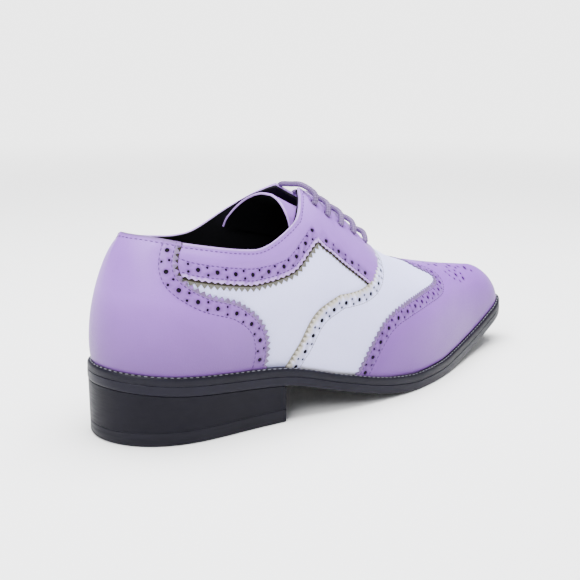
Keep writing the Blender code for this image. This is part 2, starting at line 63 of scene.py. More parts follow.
soleOutline = table(
    "along lateral medial",
    (0.012, 0.158, 0.122), (0.045, 0.282, 0.226), (0.100, 0.370, 0.300), (0.200, 0.408, 0.345),
    (0.300, 0.430, 0.335), (0.420, 0.486, 0.300), (0.520, 0.504, 0.350), (0.600, 0.486, 0.430),
    (0.670, 0.436, 0.470), (0.760, 0.335, 0.430), (0.850, 0.228, 0.325), (0.930, 0.148, 0.215),
    (0.980, 0.080, 0.118))

soleUnderside = table(
    "along heel toe",
    (0.00, 1.000, 0), (0.10, 0.875, 0), (0.20, 0.785, 0), (0.30, 0.685, 0), (0.42, 0.360, 0),
    (0.54, 0.075, 0), (0.61, 0, 0), (0.69, 0, 0), (0.76, 0, 0.09), (0.85, 0, 0.30), (0.93, 0, 0.64),
    (1.00, 0, 1.00))

# Collar to the facing's top corner: station runs along the sole's edge from heel to toe
collarLine = table(
    "station along half rise",
    (0.00, 0.066, 0.000, 0.690), (0.03, 0.071, 0.055, 0.690), (0.06, 0.083, 0.115, 0.690),
    (0.10, 0.106, 0.185, 0.683), (0.14, 0.138, 0.255, 0.669), (0.24, 0.252, 0.345, 0.640),
    (0.33, 0.353, 0.290, 0.806), (0.40, 0.390, 0.180, 0.940), (0.44, 0.4055, 0.105, 1.000))

# Facing edge down to the throat, then the ridge of the vamp to the toe
ridgeLine = table(
    "station along half rise",
    (0.44, 0.4055, 0.105, 1.000), (0.52, 0.495, 0.066, 0.905), (0.57, 0.540, 0.038, 0.800),
    (0.60, 0.570, 0.000, 0.745), (0.66, 0.632, 0.000, 0.632), (0.72, 0.680, 0.000, 0.580),
    (0.80, 0.724, 0.000, 0.535), (0.90, 0.803, 0.000, 0.455), (1.00, 0.872, 0.000, 0.380))

wallForm = table(
    "station bulge arc full",
    (0.00, 0.75, 61, 0.60), (0.20, 1.00, 56, 1.00), (0.45, 0.75, 69, 1.10), (0.60, 0.75, 82, 1.10),
    (0.70, 0.75, 84, 1.10), (1.00, 0.30, 90, 0.75))

medialDrop = table(
    "station rise",
    (0.00, 0.000), (0.08, -0.037), (0.20, -0.034), (0.32, 0.016), (0.44, 0.000), (1.00, 0.000))


def smoothBetween(known, values, wanted):
    known, values, wanted = (np.asarray(v, float) for v in (known, values, wanted))
    step = np.diff(known)
    slope = np.diff(values) / step
    tangent = np.concatenate([slope[:1], np.zeros(len(slope) - 1), slope[-1:]])
    before, after = 2 * step[1:] + step[:-1], step[1:] + 2 * step[:-1]
    same = slope[1:] * slope[:-1] > 0
    harmonic = before[same] / slope[:-1][same] + after[same] / slope[1:][same]
    tangent[1:-1][same] = (before[same] + after[same]) / harmonic
    wanted = np.clip(wanted, known[0], known[-1])
    i = np.clip(np.searchsorted(known, wanted) - 1, 0, len(step) - 1)
    t = (wanted - known[i]) / step[i]
    cubic = values[i] * (2 * t ** 3 - 3 * t ** 2 + 1) + values[i + 1] * (3 * t ** 2 - 2 * t ** 3)
    return cubic + step[i] * (tangent[i] * (t ** 3 - 2 * t ** 2 + t) + tangent[i + 1] * (t ** 3 - t ** 2))


def column(source, name, station):
    return smoothBetween(source["station"], source[name], station)


def closedCurve(points, perSpan=24):
    points = np.asarray(points, float)
    count = len(points)
    span = np.linalg.norm(np.roll(points, -1, 0) - points, axis=1)
    matrix = np.zeros((count, count))
    right = np.zeros_like(points)
    for i in range(count):
        last, here, after = span[i - 1], span[i], (i + 1) % count
        matrix[i, i - 1], matrix[i, i], matrix[i, after] = last, 2 * (last + here), here
        right[i] = 6 * ((points[after] - points[i]) / here - (points[i] - points[i - 1]) / last)
    bend = np.linalg.solve(matrix, right)
    pieces = []
    for i in range(count):
        after, here = (i + 1) % count, span[i]
        u = np.linspace(0, 1, perSpan, endpoint=False)[:, None] * here
        v = here - u
        pieces.append((bend[i] * v ** 3 + bend[after] * u ** 3) / (6 * here)
                      + (points[i] / here - bend[i] * here / 6) * v
                      + (points[after] / here - bend[after] * here / 6) * u)
    return np.concatenate(pieces)


def soleSides():
    along = soleOutline["along"] * shoe["length"]
    outer = np.column_stack([along, -soleOutline["lateral"] * shoe["ball"]])
    inner = np.column_stack([along, soleOutline["medial"] * shoe["ball"]])
    loop = np.concatenate([[(0, 0)], outer, [(shoe["length"], 0)], inner[::-1]])
    curve = closedCurve(loop)
    toe = len(curve) // 2
    return {lateral: curve[:toe + 1], medial: np.concatenate([curve[toe:], curve[:1]])[::-1]}


soleEdge = soleSides()
middleY = (soleEdge[lateral][:, 1].min() + soleEdge[medial][:, 1].max()) / 2
homeShift = np.array([-shoe["length"] / 2, -middleY, 0.0])


def edgeRun(side):
    points = soleEdge[side]
    along = np.gradient(points, axis=0)
    along /= np.linalg.norm(along, axis=1, keepdims=True)
    out = np.column_stack([-along[:, 1], along[:, 0]]) * side
    out[0], out[-1] = (-1, 0), (1, 0)
    edge = points - out * shoe["weltReach"]
    share = np.concatenate([[0], np.cumsum(np.linalg.norm(np.diff(edge, axis=0), axis=1))])
    return points, out, share / share[-1]


edgeRuns = {side: edgeRun(side) for side in (lateral, medial)}


def edgeAt(side, station, inset):
    points, out, share = edgeRuns[side]
    place = np.stack([np.interp(station, share, points[:, i]) for i in (0, 1)], -1)
    away = np.stack([np.interp(station, share, out[:, i]) for i in (0, 1)], -1)
    away /= np.linalg.norm(away, axis=-1, keepdims=True)
    return place - away * np.asarray(inset)[..., None], away


def underside(x):
    along = np.asarray(x) / shoe["length"]
    heel = smoothBetween(soleUnderside["along"], soleUnderside["heel"], along)
    toe = smoothBetween(soleUnderside["along"], soleUnderside["toe"], along)
    return heel * shoe["heel"] + toe * shoe["toeSpring"]


def topAt(side, station):
    front = station > collarLine["station"][-1]
    along, half, rise = (np.where(front, column(ridgeLine, name, station), column(collarLine, name, station))
                         for name in ("along", "half", "rise"))
    if side == medial:
        rise = rise + column(medialDrop, "rise", station)
    x = along * shoe["length"]
    z = underside(x) + band + rise * shoe["instepRise"]
    return np.stack([x, side * half * shoe["ball"], z], -1)


def outerFace(side, station, rise):
    foot, away = edgeAt(side, station, np.full(np.shape(station), shoe["weltReach"]))
    footZ = underside(foot[..., 0]) + band - shoe["sink"]
    top = topAt(side, station)
    arc = np.radians(column(wallForm, "arc", station))
    inward = ((1 - np.cos(arc * rise)) / (1 - np.cos(arc))) ** column(wallForm, "full", station)
    upward = np.sin(arc * rise) / np.sin(arc)
    bulge = np.sin(pi * np.clip(rise, 0, 1) ** shoe["bulgeLow"]) * shoe["sideBulge"]
    bulge = bulge * column(wallForm, "bulge", station)
    flat = foot + (top[..., :2] - foot) * inward[..., None] + away * bulge[..., None]
    return np.concatenate([flat, (footZ + (top[..., 2] - footZ) * upward)[..., None]], -1)


def leatherDepth(station, rise):
    start = shoe["wingStart"] + shoe["wingMove"] * np.sin(shoe["wingTurn"] * pi * rise)
    blend = np.clip((station - start) / shoe["wingStep"], 0, 1)
    return shoe["oneLeather"] + shoe["wingLeather"] * blend * blend * (3 - 2 * blend)


def wallFrame(side, places):
    station, rise = places[:, 0], places[:, 1]
    step = 0.001
    back, fore = np.clip(station - step, 0, 1), np.clip(station + step, 0, 1)
    low = np.clip(rise - step, 2 * step, 1 - 2 * step)
    across = outerFace(side, fore, rise) - outerFace(side, back, rise)
    upward = outerFace(side, station, low + 2 * step) - outerFace(side, station, low)
    normal = np.cross(across, upward) * -side
    point = outerFace(side, station, rise)
    for seam, along, turn in ((station <= 0, upward, -1), (station >= 1, upward, 1),
                              ((rise >= 1) & (station >= shoe["throat"]), across, -1)):
        inPlane = np.stack([turn * along[..., 2], 0 * along[..., 1], -turn * along[..., 0]], -1)
        normal = np.where(seam[..., None], inPlane, normal)
        point[..., 1] = np.where(seam, 0, point[..., 1])
    normal /= np.linalg.norm(normal, axis=-1, keepdims=True)
    return point + homeShift, normal


# Points on the wall: places are rows of station and rise, out is measured from the lined wall's face
def onWall(side, places, out=0.0):
    places = np.asarray(places, float)
    point, normal = wallFrame(side, places)
    return point + normal * (out - leatherDepth(places[:, 0], places[:, 1]))[:, None]


def slide(side, places, moves):
    step = 0.002
    here = onWall(side, places)
    ds = np.where(places[:, 0] > 0.5, -step, step)
    dr = np.where(places[:, 1] > 0.5, -step, step)
    across = (onWall(side, places + np.column_stack([ds, 0 * ds])) - here) / ds[:, None]
    upward = (onWall(side, places + np.column_stack([0 * dr, dr])) - here) / dr[:, None]
    aa, au, uu = (across ** 2).sum(1), (across * upward).sum(1), (upward ** 2).sum(1)
    va, vu = (moves * across).sum(1), (moves * upward).sum(1)
    size = aa * uu - au ** 2
    return places + np.column_stack([(va * uu - vu * au) / size, (vu * aa - va * au) / size])


def directions(side, line):
    along = np.gradient(onWall(side, line), axis=0)
    along /= np.linalg.norm(along, axis=1, keepdims=True)
    _, normal = wallFrame(side, line)
    away = np.cross(normal, along) * side
    away /= np.linalg.norm(away, axis=1, keepdims=True)
    return along, away, normal


# A line moved sideways on the wall: to the right of its run, seen from the outer side with the toe right
def beside(side, line, distance):
    _, away, _ = directions(side, line)
    return slide(side, line, away * np.broadcast_to(distance, len(line))[:, None])


def smoothLine(rows, steps=16):
    rows = np.asarray(rows, float)
    padded = np.concatenate([[2 * rows[0] - rows[1]], rows, [2 * rows[-1] - rows[-2]]])
    points = []
    for a, b, c, d in zip(padded, padded[1:], padded[2:], padded[3:]):
        for i in range(steps):
            t = i / steps
            points.append(0.5 * (2 * b + (c - a) * t + (2 * a - 5 * b + 4 * c - d) * t ** 2
                                 + (3 * b - a - 3 * c + d) * t ** 3))
    return np.array(points + [rows[-1]])


def lengths(points):
    return np.concatenate([[0], np.cumsum(np.linalg.norm(np.diff(points, axis=0), axis=1))])


def spacedOut(line, wanted, run):
    return np.column_stack([np.interp(wanted, run, values) for values in line.T])


def evenly(side, line, spacing, whole=1):
    run = lengths(onWall(side, line))
    count = max(whole, int(round(run[-1] / spacing / whole)) * whole)
    return spacedOut(line, np.linspace(0, run[-1], count + 1), run)


def trimmed(side, line, start, end):
    run = lengths(onWall(side, line))
    keep = (run >= start) & (run <= run[-1] - end)
    return line[keep]


# Edges of the leathers, as station and rise, each from its lower or rear end
edges = dict(
    vamp=smoothLine([
        (0.334, 0.0), (0.346, 0.077), (0.359, 0.15), (0.369, 0.215), (0.380, 0.268), (0.395, 0.308),
        (0.419, 0.339), (0.451, 0.367), (0.486, 0.408), (0.512, 0.462), (0.533, 0.545), (0.550, 0.645),
        (0.567, 0.745), (0.585, 0.87), (0.608, 1.00)]),
    wing=smoothLine([
        (0.463, 0.0), (0.476, 0.08), (0.492, 0.16), (0.519, 0.264), (0.555, 0.350), (0.600, 0.428),
        (0.656, 0.526), (0.708, 0.584), (0.738, 0.624), (0.752, 0.680), (0.743, 0.727), (0.724, 0.765),
        (0.713, 0.820), (0.716, 0.900), (0.727, 1.00)]),
    counter=smoothLine([
        (0.292, 0.0), (0.295, 0.12), (0.292, 0.21), (0.283, 0.30), (0.266, 0.40), (0.246, 0.48),
        (0.223, 0.54), (0.178, 0.59), (0.145, 0.67), (0.132, 0.74), (0.128, 0.84), (0.131, 1.00)]),
    collar=smoothLine([
        (0.124, 0.730), (0.140, 0.712), (0.162, 0.696), (0.208, 0.682), (0.240, 0.670), (0.270, 0.642),
        (0.298, 0.606), (0.325, 0.588), (0.345, 0.594), (0.373, 0.633), (0.394, 0.655), (0.413, 0.668)]),
    facing=smoothLine([(0.413, 0.668), (0.423, 0.624), (0.436, 0.583), (0.457, 0.540), (0.478, 0.507),
                       (0.508, 0.460)]))
eyelets = [(.447, .87), (.466, .82), (.490, .79), (.517, .775), (.549, .775)]


# Meshes
def newObject(name, mesh):
    piece = bpy.data.objects.new(name, mesh)
    bpy.context.scene.collection.objects.link(piece)
    return piece


def meshPiece(name, points, faces, finish, sharp=40, marks=None):
    mesh = bpy.data.meshes.new(name)
    mesh.from_pydata(np.asarray(points).tolist(), [], [tuple(int(v) for v in face) for face in faces])
    for mark, values in (marks or {}).items():
        layer = mesh.attributes.new(mark, "FLOAT", "POINT")
        layer.data.foreach_set("value", np.asarray(values, np.float32))
    mesh.shade_smooth()
    mesh.set_sharp_from_angle(angle=radians(sharp))
    mesh.materials.append(finish)
    return newObject(name, mesh)


def withoutRepeats(corners):
    return [v for k, v in enumerate(corners) if v not in corners[:k]]


def hold(piece, slot, *nodes):
    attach(piece, "root")
    if nodes:
        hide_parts(*nodes)
    return piece


# Materials
def setInputs(tree, node, inputs):
    for name, value in inputs.items():
        if isinstance(value, bpy.types.NodeSocket):
            tree.links.new(value, node.inputs[name])
        else:
            node.inputs[name].default_value = value


def addNode(tree, kind, inputs=None, **settings):
    node = tree.nodes.new(kind)
    for name, value in settings.items():
        setattr(node, name, value)
    setInputs(tree, node, inputs or {})
    return node


def newFinish(name):
    finish = bpy.data.materials.new(name)
    finish.use_nodes = True
    tree = finish.node_tree
    place = addNode(tree, "ShaderNodeTexCoord").outputs["Object"]
    return finish, tree, tree.nodes["Principled BSDF"], place


def mixColour(tree, factor, first, second, blend="MIX"):
    node = addNode(tree, "ShaderNodeMix", data_type="RGBA", blend_type=blend)
    values = zip((0, 6, 7), (factor, first, second))
    setInputs(tree, node, {i: (*value, 1) if isinstance(value, tuple) else value for i, value in values})
    return node.outputs[2]


def spread(tree, value, low, high, fromLow=0.0, fromHigh=1.0, **settings):
    return addNode(tree, "ShaderNodeMapRange", {
        "Value": value, "From Min": fromLow, "From Max": fromHigh, "To Min": low, "To Max": high},
        **settings).outputs[0]


def noise(tree, place, scale, detail=2.0, roughness=0.5):
    return addNode(tree, "ShaderNodeTexNoise", {
        "Vector": place, "Scale": scale, "Detail": detail, "Roughness": roughness}).outputs[0]


def bumps(tree, height, strength, distance):
    return addNode(tree, "ShaderNodeBump", {
        "Height": height, "Strength": strength, "Distance": distance}).outputs[0]


# rim colours: on the lavender and the wing partly the dyed cut edge and partly painted shade, on the collar a
# painted highlight, on the white the cream cut edge
leatherLooks = dict(
    lavender=dict(base=(0.250, 0.096, 0.450), deep=(0.228, 0.085, 0.412), rim=(0.120, 0.075, 0.165),
                  rough=(0.36, 0.52), grain=0.35, shade=0.46, shine=0.28),
    collar=dict(base=(0.258, 0.104, 0.465), deep=(0.235, 0.092, 0.427), rim=(0.42, 0.27, 0.60),
                rough=(0.36, 0.52), grain=0.35, shade=0.42, shine=0.28),
    wing=dict(base=(0.234, 0.081, 0.435), deep=(0.212, 0.072, 0.398), rim=(0.115, 0.068, 0.165),
              rough=(0.36, 0.52), grain=0.30, shade=0.55, shine=0.18),
    white=dict(base=(0.628, 0.634, 0.985), deep=(0.585, 0.592, 0.935), rim=(0.420, 0.390, 0.330),
               rough=(0.38, 0.54), grain=0.45, shade=0.82, shine=0.28))


def leather(name):
    look = leatherLooks[name]
    finish, tree, shader, place = newFinish(name + "Leather")
    cloud = noise(tree, place, 34.0, 3.0)
    grain = noise(tree, place, 1500.0, 3.0, 0.6)
    pore = addNode(tree, "ShaderNodeTexVoronoi", {"Vector": place, "Scale": 1900.0}).outputs["Distance"]
    shade = mixColour(tree, spread(tree, cloud, 0, 1, 0.35, 0.65), look["deep"], look["base"])
    shade = mixColour(tree, spread(tree, grain, 0.0, 0.10, 0.50, 0.75), shade, (0.10, 0.06, 0.15))
    # painted shade: the colour darkens low on the wall and on the punched band, and the holes' sides are
    # painted near black
    for mark, tone, blend in (("low", (look["shade"],) * 3, "MULTIPLY"), ("rim", look["rim"], "MIX"),
                              ("hole", (0.012, 0.008, 0.015), "MIX")):
        share = addNode(tree, "ShaderNodeAttribute", attribute_name=mark).outputs["Fac"]
        shade = mixColour(tree, share, shade, tone, blend)
    height = addNode(tree, "ShaderNodeMath", {0: grain, 1: pore}, operation="ADD").outputs[0]
    setInputs(tree, shader, {
        "Base Color": shade, "Roughness": spread(tree, grain, *look["rough"], 0.3, 0.7),
        "Normal": bumps(tree, height, look["grain"], 0.00012), "Specular IOR Level": look["shine"],
        "Coat Weight": 0.03, "Coat Roughness": 0.30})
    return finish


def plainCloth(name, base, deep, scale, rough):
    finish, tree, shader, place = newFinish(name)
    fibre = noise(tree, place, scale, 4.0)
    setInputs(tree, shader, {
        "Base Color": mixColour(tree, fibre, deep, base), "Normal": bumps(tree, fibre, 0.5, 0.0002),
        "Roughness": rough, "Specular IOR Level": 0.10})
    return finish


# Fine lines run round the edge, as a burnished and waxed sole has them
def burnished(name, base, deep, rough, lineScale, shine):
    finish, tree, shader, place = newFinish(name)
    stretched = addNode(tree, "ShaderNodeMapping", {"Vector": place, "Scale": (0.06, 0.06, 1.0)}).outputs[0]
    lines = noise(tree, stretched, lineScale)
    cloud = noise(tree, place, 60.0, 3.0)
    setInputs(tree, shader, {
        "Base Color": mixColour(tree, spread(tree, cloud, 0, 1, 0.3, 0.7), deep, base),
        "Roughness": spread(tree, lines, rough - 0.06, rough + 0.12, 0.3, 0.7),
        "Normal": bumps(tree, lines, 0.35, 0.00015), "Specular IOR Level": shine})
    return finish


def laceWeave(name, base, deep):
    finish, tree, shader, place = newFinish(name)
    braidShade = addNode(tree, "ShaderNodeAttribute", attribute_name="braidShade").outputs["Fac"]
    fibre = noise(tree, place, 2500.0)
    # painted shade: the colour darkens in the grooves between the braid's strands
    shade = mixColour(tree, braidShade, deep, base)
    shade = mixColour(tree, spread(tree, fibre, 0.0, 0.30, 0.4, 0.8), shade, (0.03, 0.02, 0.045))
    setInputs(tree, shader, {"Base Color": shade, "Normal": bumps(tree, fibre, 0.4, 0.0002),
                             "Roughness": 0.7, "Specular IOR Level": 0.25})
    return finish


def darkHole(name):
    finish, tree, shader, place = newFinish(name)
    dust = noise(tree, place, 700.0)
    shade = mixColour(tree, dust, (0.004, 0.003, 0.005), (0.012, 0.010, 0.012))
    setInputs(tree, shader, {"Base Color": shade, "Roughness": 0.9, "Specular IOR Level": 0.1})
    return finish


finishes = dict(
    lavender=leather("lavender"), collar=leather("collar"), wing=leather("wing"), white=leather("white"),
    lining=plainCloth("blackLining", (0.004, 0.004, 0.005), (0.002, 0.002, 0.0025), 900.0, 0.75),
    # painted shade: the lavender rows' stitches are dark mauve, partly the thread's colour and partly the
    # shade in its needle holes
    lavenderThread=plainCloth("mauveThreadAndShade", (0.085, 0.045, 0.140), (0.050, 0.026, 0.090), 2600.0, 0.6),
    whiteThread=plainCloth("greyThread", (0.220, 0.215, 0.260), (0.140, 0.135, 0.165), 2600.0, 0.6),
    weltThread=plainCloth("weltThread", (0.330, 0.325, 0.370), (0.200, 0.195, 0.230), 2600.0, 0.6),
    # painted shadow: a dark olive strip under the collar's, facing's and counter's edges, and grey-olive
    # teeth that are the cream underlay painted as in shade
    oliveShadow=plainCloth("oliveEdgeShadow", (0.030, 0.026, 0.016), (0.016, 0.014, 0.009), 1100.0, 0.7),
    shadedUnderlayTeeth=plainCloth("shadedUnderlayTeeth", (0.150, 0.145, 0.120), (0.095, 0.090, 0.072), 1100.0, 0.65),
    # the vamp's strip: partly its cream backing colour and partly painted shade in the gaps between the teeth
    creamAndShade=plainCloth("creamEdgeAndShade", (0.290, 0.275, 0.210), (0.150, 0.138, 0.100), 1100.0, 0.65),
    sole=burnished("charcoalSole", (0.0070, 0.0064, 0.0125), (0.0050, 0.0045, 0.0090), 0.38, 2600.0, 0.11),
    welt=burnished("charcoalWelt", (0.0060, 0.0055, 0.0105), (0.0042, 0.0038, 0.0075), 0.44, 2600.0, 0.14),
    heel=burnished("heelStack", (0.0042, 0.0038, 0.0075), (0.0030, 0.0027, 0.0055), 0.42, 1800.0, 0.09),
    rubber=burnished("heelRubber", (0.0055, 0.0050, 0.0095), (0.0040, 0.0036, 0.0070), 0.50, 900.0, 0.12),
    lace=laceWeave("laceWeave", (0.190, 0.120, 0.270), (0.045, 0.025, 0.070)),
    dark=darkHole("brogueDark"))
print("finishes are ready")


# Leathers cut flat by their outline, laid on the wall and given a thickness
flatScale = np.array([0.330, 0.085])
cutting = dict(station=0.0062, rise=0.0245, clear=0.9 * mm, softEdge=0.16 * mm, groove=0.26 * mm,
               grooveReach=1.2 * mm, fullness=0.60 * mm, fullReach=5.0 * mm,
               # spacing of the points along rows and rims, and how near they come to other points
               rowStep=1.2 * mm, rimStep=1.6 * mm, rowGap=0.45 * mm, rimGap=0.5 * mm,
               # loose and grid points keep this far from a hole's rim, which sinks a little and takes this
               # share of the holes' painted shade
               looseSpare=0.30 * mm, gridSpare=0.55 * mm, holeSink=0.08 * mm, holeShade=0.35,
               # a large hole is wider than this and has more sides
               largeFrom=0.9 * mm, largeSides=14, smallSides=8,
               # painted shade: how far up the wall its colour is darker, and how much darker the punched band
               # is
               shadeRise=0.50, bandShade=0.30, bandSpare=0.3 * mm, bandFade=0.9 * mm)
gridStations = np.linspace(0, 1, int(round(1 / cutting["station"])) + 1)
gridRises = np.linspace(0, 1, int(round(1 / cutting["rise"])) + 1)
# What a point belongs to: 0 and up are holes by their number
onBorder, onRow, onRim, onGrid = -1, -2, -3, -4


def insideOf(outline, points):
    after = np.roll(outline, -1, 0)
    inside = np.zeros(len(points), bool)
    for a, b in zip(outline, after):
        if a[1] == b[1]:
            continue
        spans = (a[1] > points[:, 1]) != (b[1] > points[:, 1])
        inside ^= spans & (points[:, 0] < a[0] + (points[:, 1] - a[1]) * (b[0] - a[0]) / (b[1] - a[1]))
    return inside


def treeOf(points):
    tree = KDTree(len(points))
    for i, point in enumerate(points):
        tree.insert((*point, 0) if len(point) == 2 else tuple(point), i)
    tree.balance()
    return tree


def nearest(tree, points):
    return np.array([tree.find((*p, 0) if len(p) == 2 else tuple(p))[2] for p in points])


def clearOfHoles(side, places, holes, spare):
    if not holes:
        return np.ones(len(places), bool)
    middles = onWall(side, [hole[:2] for hole in holes])
    radii = np.array([hole[2] for hole in holes])
    gaps = np.linalg.norm(onWall(side, places)[:, None] - middles[None], axis=2) - radii
    return (gaps > spare).all(1)


# painted shade: the leathers' colour is darker low on the wall, where less light reaches
def lowShade(rises):
    return np.clip(1 - rises / cutting["shadeRise"], 0, 1) ** 0.8


# One side's half of a leather. rows are stitch lines pressed into it, holes are (station, rise, radius)
def cutHalf(side, outline, holes, rows, rimRows, top, bottom, bands=()):
    ring = np.asarray(outline, float)
    count = len(ring)
    lines, fixed, marks = [], [ring], [np.full(count, onBorder)]
    for number, (station, rise, radius) in enumerate(holes):
        sides = cutting["largeSides"] if radius > cutting["largeFrom"] else cutting["smallSides"]
        turn = np.linspace(0, 2 * pi, sides, endpoint=False)
        middle = np.array([[station, rise], [station + 1e-4, rise]])
        along, away, _ = directions(side, middle)
        moves = radius * (np.cos(turn)[:, None] * along[0] + np.sin(turn)[:, None] * away[0])
        fixed.append(slide(side, np.repeat(middle[:1], sides, 0), moves))
        marks.append(np.full(sides, number))
        lines += [(count + i, count + (i + 1) % sides) for i in range(sides)]
        count += sides
    for group, step, mark in ((rows, cutting["rowStep"], onRow), (rimRows, cutting["rimStep"], onRim)):
        for line in group:
            fixed.append(evenly(side, line, step)[1:-1])
            marks.append(np.full(len(fixed[-1]), mark))
    fixed, marks = np.concatenate(fixed), np.concatenate(marks)
    # rows and rims keep inside the outline and out of the holes
    flat = fixed * flatScale
    keep = np.ones(len(flat), bool)
    loose, rims = marks < onBorder, marks == onRim
    keep[loose] = insideOf(ring * flatScale, flat[loose])
    keep[loose] &= nearest(treeOf(flat[~loose]), flat[loose]) > cutting["rowGap"]
    keep[loose] &= clearOfHoles(side, fixed[loose], holes, cutting["looseSpare"])
    if rims.any() and (marks == onRow).any():
        keep[rims] &= nearest(treeOf(flat[marks == onRow]), flat[rims]) > cutting["rimGap"]
    fixed, marks = fixed[keep], marks[keep]
    grid = np.array([(s, r) for s in gridStations[1:-1] for r in gridRises[1:-1]])
    grid = grid[insideOf(ring * flatScale, grid * flatScale)]
    grid = grid[nearest(treeOf(fixed * flatScale), grid * flatScale) > cutting["clear"]]
    grid = grid[clearOfHoles(side, grid, holes, cutting["gridSpare"])]
    places = np.concatenate([fixed, grid])
    marks = np.concatenate([marks, np.full(len(grid), onGrid)])
    # a line from the toe's corner keeps each triangle there on its own side of the ridge
    for i in np.flatnonzero((ring == 1.0).all(1)):
        gaps = np.linalg.norm((grid - ring[i]) * flatScale, axis=1)
        lines.append((int(i), len(fixed) + int(np.argmin(gaps))))
    flat = [Vector(p) for p in places * flatScale]
    found, _, faces, origins, _, _ = delaunay_2d_cdt(flat, lines, [list(range(len(ring)))], 1, 1e-7)
    shares = (np.array([tuple(p) for p in found]) / flatScale).round(6)
    kind = np.array([marks[o[0]] if o else onGrid for o in origins])
    border = kind == onBorder
    turned = []
    for a, b, c in faces:
        if kind[a] >= 0 and kind[a] == kind[b] == kind[c]:
            continue
        area = (found[b] - found[a]).cross(found[c] - found[a])
        turned.append((a, b, c) if (area > 0) == (side == lateral) else (a, c, b))
    faceOf = onWall(side, shares)
    heights = np.full(len(shares), float(top))
    seam = border & ((shares[:, 0] <= 0) | (shares[:, 0] >= 1)
                     | ((shares[:, 1] >= 1) & (shares[:, 0] >= shoe["throat"])))
    if rows:
        gap = nearest(treeOf(onWall(side, places[marks == onRow])), faceOf)
        dip = np.exp(-(gap / cutting["grooveReach"]) ** 2) * cutting["groove"]
        full = (1 - np.exp(-(gap / cutting["fullReach"]) ** 2)) * cutting["fullness"]
        heights += full - dip
    heights[border & ~seam & (shares[:, 1] < 1)] = top - cutting["softEdge"]
    heights[kind >= 0] -= cutting["holeSink"]
    low = lowShade(shares[:, 1])
    # painted shade: the punched band between its two rows is darkened
    for *bandRows, width in bands:
        gaps = [nearest(treeOf(onWall(side, evenly(side, line, 1.0 * mm))), faceOf) for line in bandRows]
        past = gaps[0] + gaps[1] - width - cutting["bandSpare"]
        low = np.maximum(low, np.clip(1 - past / cutting["bandFade"], 0, 1) * cutting["bandShade"])
    return dict(places=shares, top=onWall(side, shares, heights), faces=turned,
                bottom=onWall(side, shares, bottom), rim=(border & ~seam | (kind == onRim)).astype(float),
                low=low, hole=(kind >= 0).astype(float),
                rolled=border & (shares[:, 1] >= 1) & (shares[:, 0] < shoe["throat"]))


# The folded top edge: an arc over the wall's end, from the leather's face to the lining
topline = dict(inside=0.30 * mm, rise=0.30, steps=5, below=0.97)


def rollOf(side, place, top):
    places = np.array([place, (place[0], topline["below"])])
    points, normals = wallFrame(side, places)
    up = points[0] - points[1]
    up -= normals[0] * up.dot(normals[0])
    up /= np.linalg.norm(up)
    inner = onWall(side, places[:1], -topline["inside"])[0]
    middle, half = (top + inner) / 2, np.linalg.norm(top - inner) / 2
    out = (top - inner) / (2 * half)
    turn = np.linspace(0, pi, topline["steps"] + 2)[1:]
    return [middle + half * (cos(t) * out + topline["rise"] * sin(t) * up) for t in turn]


# Halves become one closed piece. roll is the rim's share of colour on a folded top edge, if it has one; on
# the collar this light colour is a painted highlight
def closeShell(name, halves, finish, roll=None):
    joined = {key: np.concatenate([half[key] for _, half in halves])
              for key in ("top", "bottom", "rim", "low", "hole")}
    faces, rolls, offset = [], {}, 0
    for side, half in halves:
        faces += [tuple(offset + v for v in face) for face in half["faces"]]
        if roll is not None:
            for i in np.flatnonzero(half["rolled"]):
                rolls[offset + int(i)] = rollOf(side, half["places"][i], half["top"][i])
        offset += len(half["top"])
    # the two halves meet on the same seam points
    same, keep = {}, []
    index = np.zeros(offset, int)
    for i, point in enumerate(np.round(joined["top"], 5)):
        key = tuple(point)
        if key not in same:
            same[key] = len(keep)
            keep.append(i)
        index[i] = same[key]
    rolls = {index[i]: points for i, points in rolls.items()}
    joined = {key: values[keep] for key, values in joined.items()}
    faces = [tuple(index[v] for v in face) for face in faces]
    faces = [face for face in faces if len(set(face)) == 3]
    count = len(keep)
    directed = {(a, b) for f in faces for a, b in zip(f, f[1:] + f[:1])}
    extra, start = [], {}
    for i, arc in rolls.items():
        start[i] = 2 * count + len(extra)
        extra += arc
    made = list(faces) + [(c + count, b + count, a + count) for a, b, c in faces]

    def arcOf(v):
        return [v] + [start[v] + k for k in range(len(rolls[v]))] + [v + count]

    ends = {}
    for a, b in [(a, b) for a, b in directed if (b, a) not in directed]:
        if a not in start or b not in start:
            made.append((b, a, a + count, b + count))
            continue
        first, second = arcOf(a), arcOf(b)
        for k in range(len(first) - 1):
            made.append((first[k], first[k + 1], second[k + 1], second[k]))
        for v, turn in ((a, 1), (b, -1)):
            ends[v] = ends.get(v, 0) + turn
    # an arc that only one border meets is closed with a cap
    made += [tuple(arcOf(v)[::-1] if turn > 0 else arcOf(v)) for v, turn in ends.items() if turn]
    points = np.concatenate([joined["top"], joined["bottom"]] + ([extra] if extra else []))
    marks = {key: np.concatenate([joined[key], joined[key], np.full(len(extra), filled)])
             for key, filled in (("rim", float(roll or 0)), ("low", 0.0), ("hole", 0.0))}
    # painted shade in the holes: their top rims take a share of it
    marks["hole"][:count] *= cutting["holeShade"]
    return meshPiece(name, points, made, finish, 42, marks)


# Zigzag edge with the same teeth all the way; outside is +1 where the leather lies left of the line
def pinked(side, line, outside, pitch, depth):
    fine = evenly(side, line, pitch / 2, 2)
    wave = np.where(np.arange(len(fine)) % 2, depth / 2, -depth / 2) * outside
    cut = beside(side, fine, wave)
    cut[0], cut[-1] = line[0], line[-1]
    return cut


brogue = dict(large=1.15 * mm, small=0.70 * mm, pitch=10.8 * mm, across=1.75 * mm, slant=0.4 * mm,
              outerRow=1.9 * mm, middle=4.9 * mm, innerRow=7.9 * mm, topRow=2.0 * mm)


